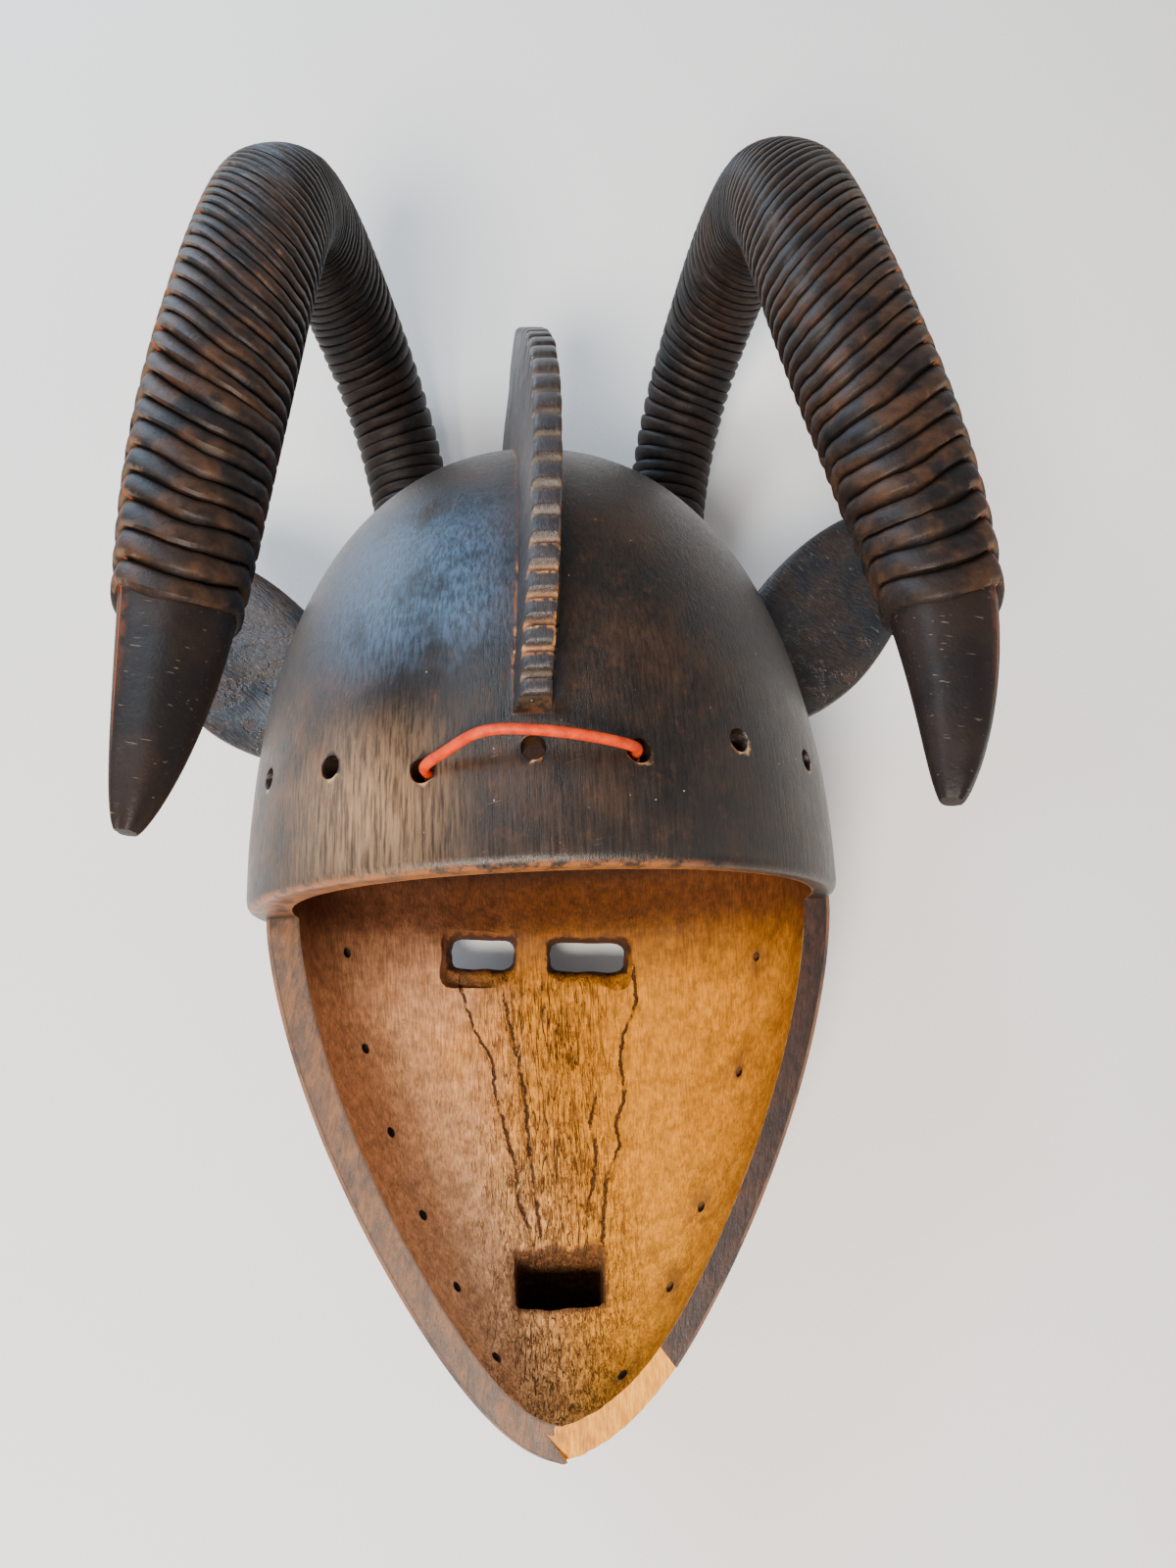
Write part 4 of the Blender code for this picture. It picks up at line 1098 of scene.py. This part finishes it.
def round_cutter(name, paints, point, direction, stations, count, slot):
    """A turned cutter: stations are (distance along the direction, radius)."""
    turn = direction.to_track_quat("Z", "Y").to_matrix()
    rows = []
    for place, radius in stations:
        rows.append([point + turn @ Vector((radius * math.cos(spin), radius * math.sin(spin), place))
                     for spin in (math.tau * k / count for k in range(count))])
    return form(name, rows, paints, slot)


def swept_cutter(name, paints, start, ways, half_sizes, stations, ragged, squareness):
    """A cutter through a slit: stations are (distance, growth across, growth down)."""
    along, across, up = ways
    rows = []
    for place, grow, drop in stations:
        ring = []
        for x, rise in rounded_box(56, squareness):
            point = start + along * place
            loose = uneven((x * 2.2, rise * 2.2, place * 60), 1.0, ragged)
            point += across * x * (half_sizes[0] + grow + loose)
            lower = drop if rise < 0 else 0
            point += up * rise * (half_sizes[1] + grow + loose + lower)
            ring.append(point)
        rows.append(ring)
    return form(name, rows, paints, "raw_wood")


def eye_places():
    """Middle, direction of the width, direction of the height and half width of each eye slit."""
    span = RIGHT_EYE[1] - LEFT_EYE[0]
    tilt = -math.atan2(EYE_DROP, span)
    across = Vector((math.cos(tilt), math.sin(tilt), 0))
    up = Vector((-math.sin(tilt), math.cos(tilt), 0))
    places = []
    for left, right in (LEFT_EYE, RIGHT_EYE):
        middle = (left + right) / 2
        level = EYE_LEVEL - EYE_DROP * (middle - LEFT_EYE[0]) / span
        places.append((Vector((middle, level, -FACE_DEPTH)), across, up, (right - left) / 2))
    return places


def chip_cutter(paints):
    """A splintered cutter that takes the broken corner off the chin."""
    first, last = Vector((*CHIP_START, 0)), Vector((*CHIP_END, 0))
    edge = last - first
    turn = Matrix.Rotation(math.atan2(edge.y, edge.x), 3, "Z")
    turn = turn @ Matrix.Rotation(math.radians(CHIP_TILT), 3, "X")
    thick = 2 * FACE_SIDE_WALL
    middle = (first + last) / 2
    rows = []
    for k in range(49):
        x = edge.length * (k / 48 - 0.5)
        ring = []
        for j in range(37):
            y = thick * (2 * j / 36 - 1)
            splinter = 0.0008 * noise.noise(Vector((x / 0.0022, y / 0.010, 1.0)))
            ring.append(middle + turn @ Vector((x, y, -CHIP_DEPTH + splinter)))
        ring += [middle + turn @ Vector((x, y, thick)) for y in (thick, -thick)]
        rows.append(ring)
    return form("chip", rows, paints, "chip")


def all_cutters(paints):
    cutters = [hollow(paints), chip_cutter(paints)]
    reach = 2 * FACE_FRONT_WALL
    grown = ((-2.5 * CAP_WALL, 1), (-0.0012, 1), (-0.0003, 1.06), (0.0009, 1.25), (0.02, 1.3))
    stations = [(place, CAP_HOLE_RADIUS * share) for place, share in grown]
    for k in range(len(CAP_HOLE_ANGLES)):
        point, direction = cap_hole_point(k)
        cutters.append(round_cutter(f"cap_hole_{k}", paints, point, direction, stations, 28, "patina"))
    stations = ((-reach, EDGE_HOLE_RADIUS * 1.15), (0, EDGE_HOLE_RADIUS), (reach, EDGE_HOLE_RADIUS))
    for k, (point, direction) in enumerate(edge_hole_points()):
        cutters.append(round_cutter(f"edge_hole_{k}", paints, point, direction, stations, 16, "raw_wood"))
    stations = [(-reach, 0.0002, 0), (0, 0, 0), (0.0075, 0, 0), (0.0105, 0.0003, 0.0005),
                (0.0135, 0.0012, 0.0026), (0.0175, 0.003, 0.006), (reach, 0.004, 0.008)]
    for k, (middle, across, up, half) in enumerate(eye_places()):
        ways = (Vector((0, 0, 1)), across, up)
        half_sizes = (half, EYE_HEIGHT / 2)
        cutters.append(swept_cutter(f"eye_{k}", paints, middle, ways, half_sizes, stations, 0.0007, 6))
    start, along, up = snout_frame()
    stations = [(-0.03, 0.0035, 0.0), (-0.010, 0.0022, 0.0), (-0.004, 0.0012, 0.0), (0.001, 0.0002, 0.0),
                (0.008, 0, 0), (0.03, 0, 0), (0.06, 0, 0), (1.4 * SNOUT_REACH, 0, 0)]
    ways = (along, Vector((1, 0, 0)), up)
    half_sizes = (MOUTH_WIDTH / 2, MOUTH_HEIGHT / 2)
    cutters.append(swept_cutter("mouth", paints, start, ways, half_sizes, stations, 0.0009, 12))
    return cutters


def combine(target, operands, operation):
    """Join forms to a target, or cut them from it, and keep the resulting mesh."""
    group = bpy.data.collections.new(operation)
    bpy.context.scene.collection.children.link(group)
    for operand in operands:
        group.objects.link(operand)
    modifier = target.modifiers.new(operation, "BOOLEAN")
    modifier.operation = operation
    modifier.operand_type = "COLLECTION"
    modifier.collection = group
    modifier.solver = "EXACT"
    bpy.context.view_layer.update()
    evaluated = target.evaluated_get(bpy.context.evaluated_depsgraph_get())
    mesh = bpy.data.meshes.new_from_object(evaluated)
    target.modifiers.clear()
    target.data = mesh
    for operand in operands:
        bpy.data.objects.remove(operand, do_unlink=True)
    bpy.data.collections.remove(group)


def box_gap(across, upward, half_sizes):
    """Distance outside a box in its own plane, in centimetres, negative inside."""
    x = np.abs(across) - half_sizes[0]
    y = np.abs(upward) - half_sizes[1]
    outside = np.hypot(np.maximum(x, 0), np.maximum(y, 0))
    return 100 * (outside + np.minimum(np.maximum(x, y), 0))


def sharp_points(mesh, angle):
    """Points spread along the sharp edges of everything but the horns."""
    work = bmesh.new()
    work.from_mesh(mesh)
    horn_slot = SLOTS.index("horn")
    found = []
    for edge in work.edges:
        if len(edge.link_faces) != 2:
            continue
        if any(face.material_index == horn_slot for face in edge.link_faces):
            continue
        if edge.calc_face_angle(0) > angle:
            a, b = edge.verts[0].co, edge.verts[1].co
            steps = max(int((b - a).length / 0.0015), 1)
            found += [a.lerp(b, k / steps) for k in range(steps + 1)]
    work.free()
    return found


def marked_values(points):
    """The values of the nearest marked point, for each point that has one close by."""
    marked = np.vstack([rows.reshape(-1, 3) for rows, _ in MARKS])
    tree = nearest_of(marked)
    found = [tree.find(point) for point in points]
    close = np.array([distance < MARK_REACH for _, _, distance in found])
    index = np.array([k for _, k, _ in found])
    values = {}
    for key in (*HORN_VALUES, "crest"):
        flat = [np.ravel(own.get(key, np.zeros(rows.shape[:2]))) for rows, own in MARKS]
        values[key] = np.where(close, np.concatenate(flat)[index], 0.0)
    return values


def beside_line(points, middle, direction):
    """How far points are along a line, and their offsets and distances from it."""
    offset = points - np.array(middle)
    past = offset @ np.array(direction)
    flat = offset - past[:, None] * np.array(direction)
    return past, flat, np.linalg.norm(flat, axis=1)


def write_values(mesh):
    """Put the values and the distances that the paints need on the mesh's points."""
    count = len(mesh.vertices)
    flat = np.empty(count * 3, dtype=np.float32)
    mesh.vertices.foreach_get("co", flat)
    points = flat.reshape(-1, 3).astype(float)
    x, y = points[:, 0], points[:, 1]
    values = marked_values(points)
    tree = nearest_of(sharp_points(mesh, math.radians(SHARP_ANGLE)))
    values["arris"] = np.array([min(tree.find(point)[2] * 1000, 9.0) for point in points])
    gaps = []
    for middle, across, up, half in eye_places():
        offset = points - np.array(middle)
        gaps.append(box_gap(offset @ np.array(across), offset @ np.array(up), (half, EYE_HEIGHT / 2)))
    values["eye_gap"] = np.minimum(*gaps)
    start, _, up = snout_frame()
    offset = points - np.array(start)
    values["mouth_gap"] = box_gap(offset[:, 0], offset @ np.array(up), (MOUTH_WIDTH / 2, MOUTH_HEIGHT / 2))
    holes = []
    for point, direction in edge_hole_points():
        past, _, away = beside_line(points, point, direction)
        holes.append(100 * (np.hypot(away, np.maximum(np.abs(past) - 0.02, 0)) - EDGE_HOLE_RADIUS))
    values["hole_gap"] = np.min(holes, axis=0)
    rim_highlights, bore_shades = [], []
    for k in range(len(CAP_HOLE_ANGLES)):
        point, direction = cap_hole_point(k)
        past, flat, away = beside_line(points, point, direction)
        right = Vector((0, 1, 0)).cross(direction)
        # The painted highlight of a cap hole lies on the lower right of its rim
        lower_right = np.clip((flat @ np.array(right) - flat[:, 1]) / np.maximum(away, 1e-6), 0, 1)
        ring = np.exp(-((away - CAP_HOLE_RADIUS * 1.15) / 0.0007) ** 2)
        rim_highlights.append(ring * lower_right * (np.abs(past) < 0.004))
        bore_shades.append((away < CAP_HOLE_RADIUS * 1.12) & (past < 0.0006) & (past > -2 * CAP_WALL))
    values["hole_rim_highlight"] = np.max(rim_highlights, axis=0)
    values["bore_shade"] = np.max(bore_shades, axis=0)
    for name in CRACKS:
        values[name] = crack_side(name, x, y)
    for name, value in values.items():
        made = mesh.attributes.new(name, "FLOAT", "POINT")
        made.data.foreach_set("value", np.asarray(value, dtype=np.float32))


def carved_mask():
    """The whole carved block as one fine mesh."""
    paints = [patina(), horn_paint(), ear_paint(), raw_wood(), chip_paint(), band_paint()]
    mask = cap_outside(paints)
    joined = [face_outside(paints), nose(paints), snout(paints), crest(paints),
              ear("ear_right", paints, *RIGHT_EAR), ear("ear_left", paints, *LEFT_EAR),
              horn("horn_right", paints, 1, RIGHT_HORN_LEANS, RIGHT_RINGED_SHARE, 3),
              horn("horn_left", paints, -1, LEFT_HORN_LEANS, LEFT_RINGED_SHARE, 8)]
    combine(mask, joined, "UNION")
    combine(mask, all_cutters(paints), "DIFFERENCE")
    mask.name = "carved_mask"
    mesh = mask.data
    work = bmesh.new()
    work.from_mesh(mesh)
    bmesh.ops.remove_doubles(work, verts=work.verts, dist=WELD)
    bmesh.ops.dissolve_degenerate(work, dist=WELD / 2, edges=work.edges)
    bmesh.ops.delete(work, geom=[edge for edge in work.edges if edge.is_wire], context="EDGES")
    bmesh.ops.holes_fill(work, edges=[edge for edge in work.edges if edge.is_boundary], sides=16)
    work.to_mesh(mesh)
    work.free()
    band, outer = SLOTS.index("band"), SLOTS.index("patina")
    for face in mesh.polygons:
        flat = face.normal.z > 0.9 and abs(face.center.z) < 0.0012 and face.center.y < -0.0002
        if flat and face.material_index == outer:
            face.material_index = band
    write_values(mesh)
    mesh.shade_smooth()
    mesh.set_sharp_from_angle(angle=math.radians(SHARP_ANGLE))
    mask.matrix_world = AXES
    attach(mask, "root")
    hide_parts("mask")


def tube(name, places, radius, rounding, paint):
    """A round cord through a row of places."""
    curve = bpy.data.curves.new(name, "CURVE")
    curve.dimensions = "3D"
    curve.bevel_depth = radius
    curve.bevel_resolution = rounding
    curve.use_fill_caps = True
    line = curve.splines.new("POLY")
    line.points.add(len(places) - 1)
    for point, place in zip(line.points, places):
        point.co = (*place, 1)
    line.use_smooth = True
    curve.materials.append(paint)
    return placed(name, curve)


def hanging_cord():
    """The dyed cord across the back of the cap, and an overhand knot on each end."""
    paint = cord_paint()
    route = [AXES @ point for point in smooth_route(CORD_ROUTE, CORD_STEP)]
    cord = tube("dyed_cord", route, CORD_DIAMETER / 2, 6, paint)
    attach(cord, "root")
    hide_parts("hanging_cord")
    for node, end, before in (("knot_left", route[0], route[1]), ("knot_right", route[-1], route[-2])):
        overhand_knot(node, end, (end - before).normalized(), paint)


def overhand_knot(node, end, inward, paint):
    """A tight overhand knot, in the room of the plain knot that it replaces."""
    turn = inward.to_track_quat("Z", "Y").to_matrix()
    low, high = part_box(node)
    middle = (low + high) / 2
    places = []
    for k in range(KNOT_STEPS):
        angle = math.tau * KNOT_CLOSED * k / KNOT_STEPS
        wide = KNOT_LOOP * (2 + math.cos(3 * angle))
        rise = KNOT_RISE * math.sin(3 * angle)
        loop = Vector((wide * math.cos(2 * angle), wide * math.sin(2 * angle), rise))
        places.append(middle + turn @ loop)
    knot = tube(node + "_fine", places, CORD_DIAMETER / 2 * KNOT_TIGHTNESS, 4, paint)
    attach(knot, "root")
    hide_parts(node)
    return knot


def make_floor():
    work = bmesh.new()
    bmesh.ops.create_grid(work, x_segments=1, y_segments=1, size=FLOOR_HALF_WIDTH)
    mesh = bpy.data.meshes.new("floor")
    work.to_mesh(mesh)
    work.free()
    mesh.materials.append(floor_paint())
    floor = placed("floor", mesh)


def make_light(name, place, size, power_watts, colour):
    data = bpy.data.lights.new(name, "AREA")
    data.shape = "DISK"
    data.size = size
    data.energy = power_watts
    data.color = colour
    light = placed(name, data)
    light.visible_camera = False
    light.location = place
    aim = Vector((0, 0, LIT_HEIGHT)) - light.location
    light.rotation_euler = aim.to_track_quat("-Z", "Y").to_euler()


def make_lights():
    world = bpy.data.worlds.new("soft_room")
    world.use_nodes = True
    background = world.node_tree.nodes["Background"]
    background.inputs["Color"].default_value = (*ROOM_COLOUR, 1.0)
    background.inputs["Strength"].default_value = ROOM_STRENGTH
    bpy.context.scene.world = world
    for light in LIGHTS:
        make_light(*light)


def main():
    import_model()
    make_camera()
    hanging_cord()
    carved_mask()
    make_floor()
    make_lights()


main()
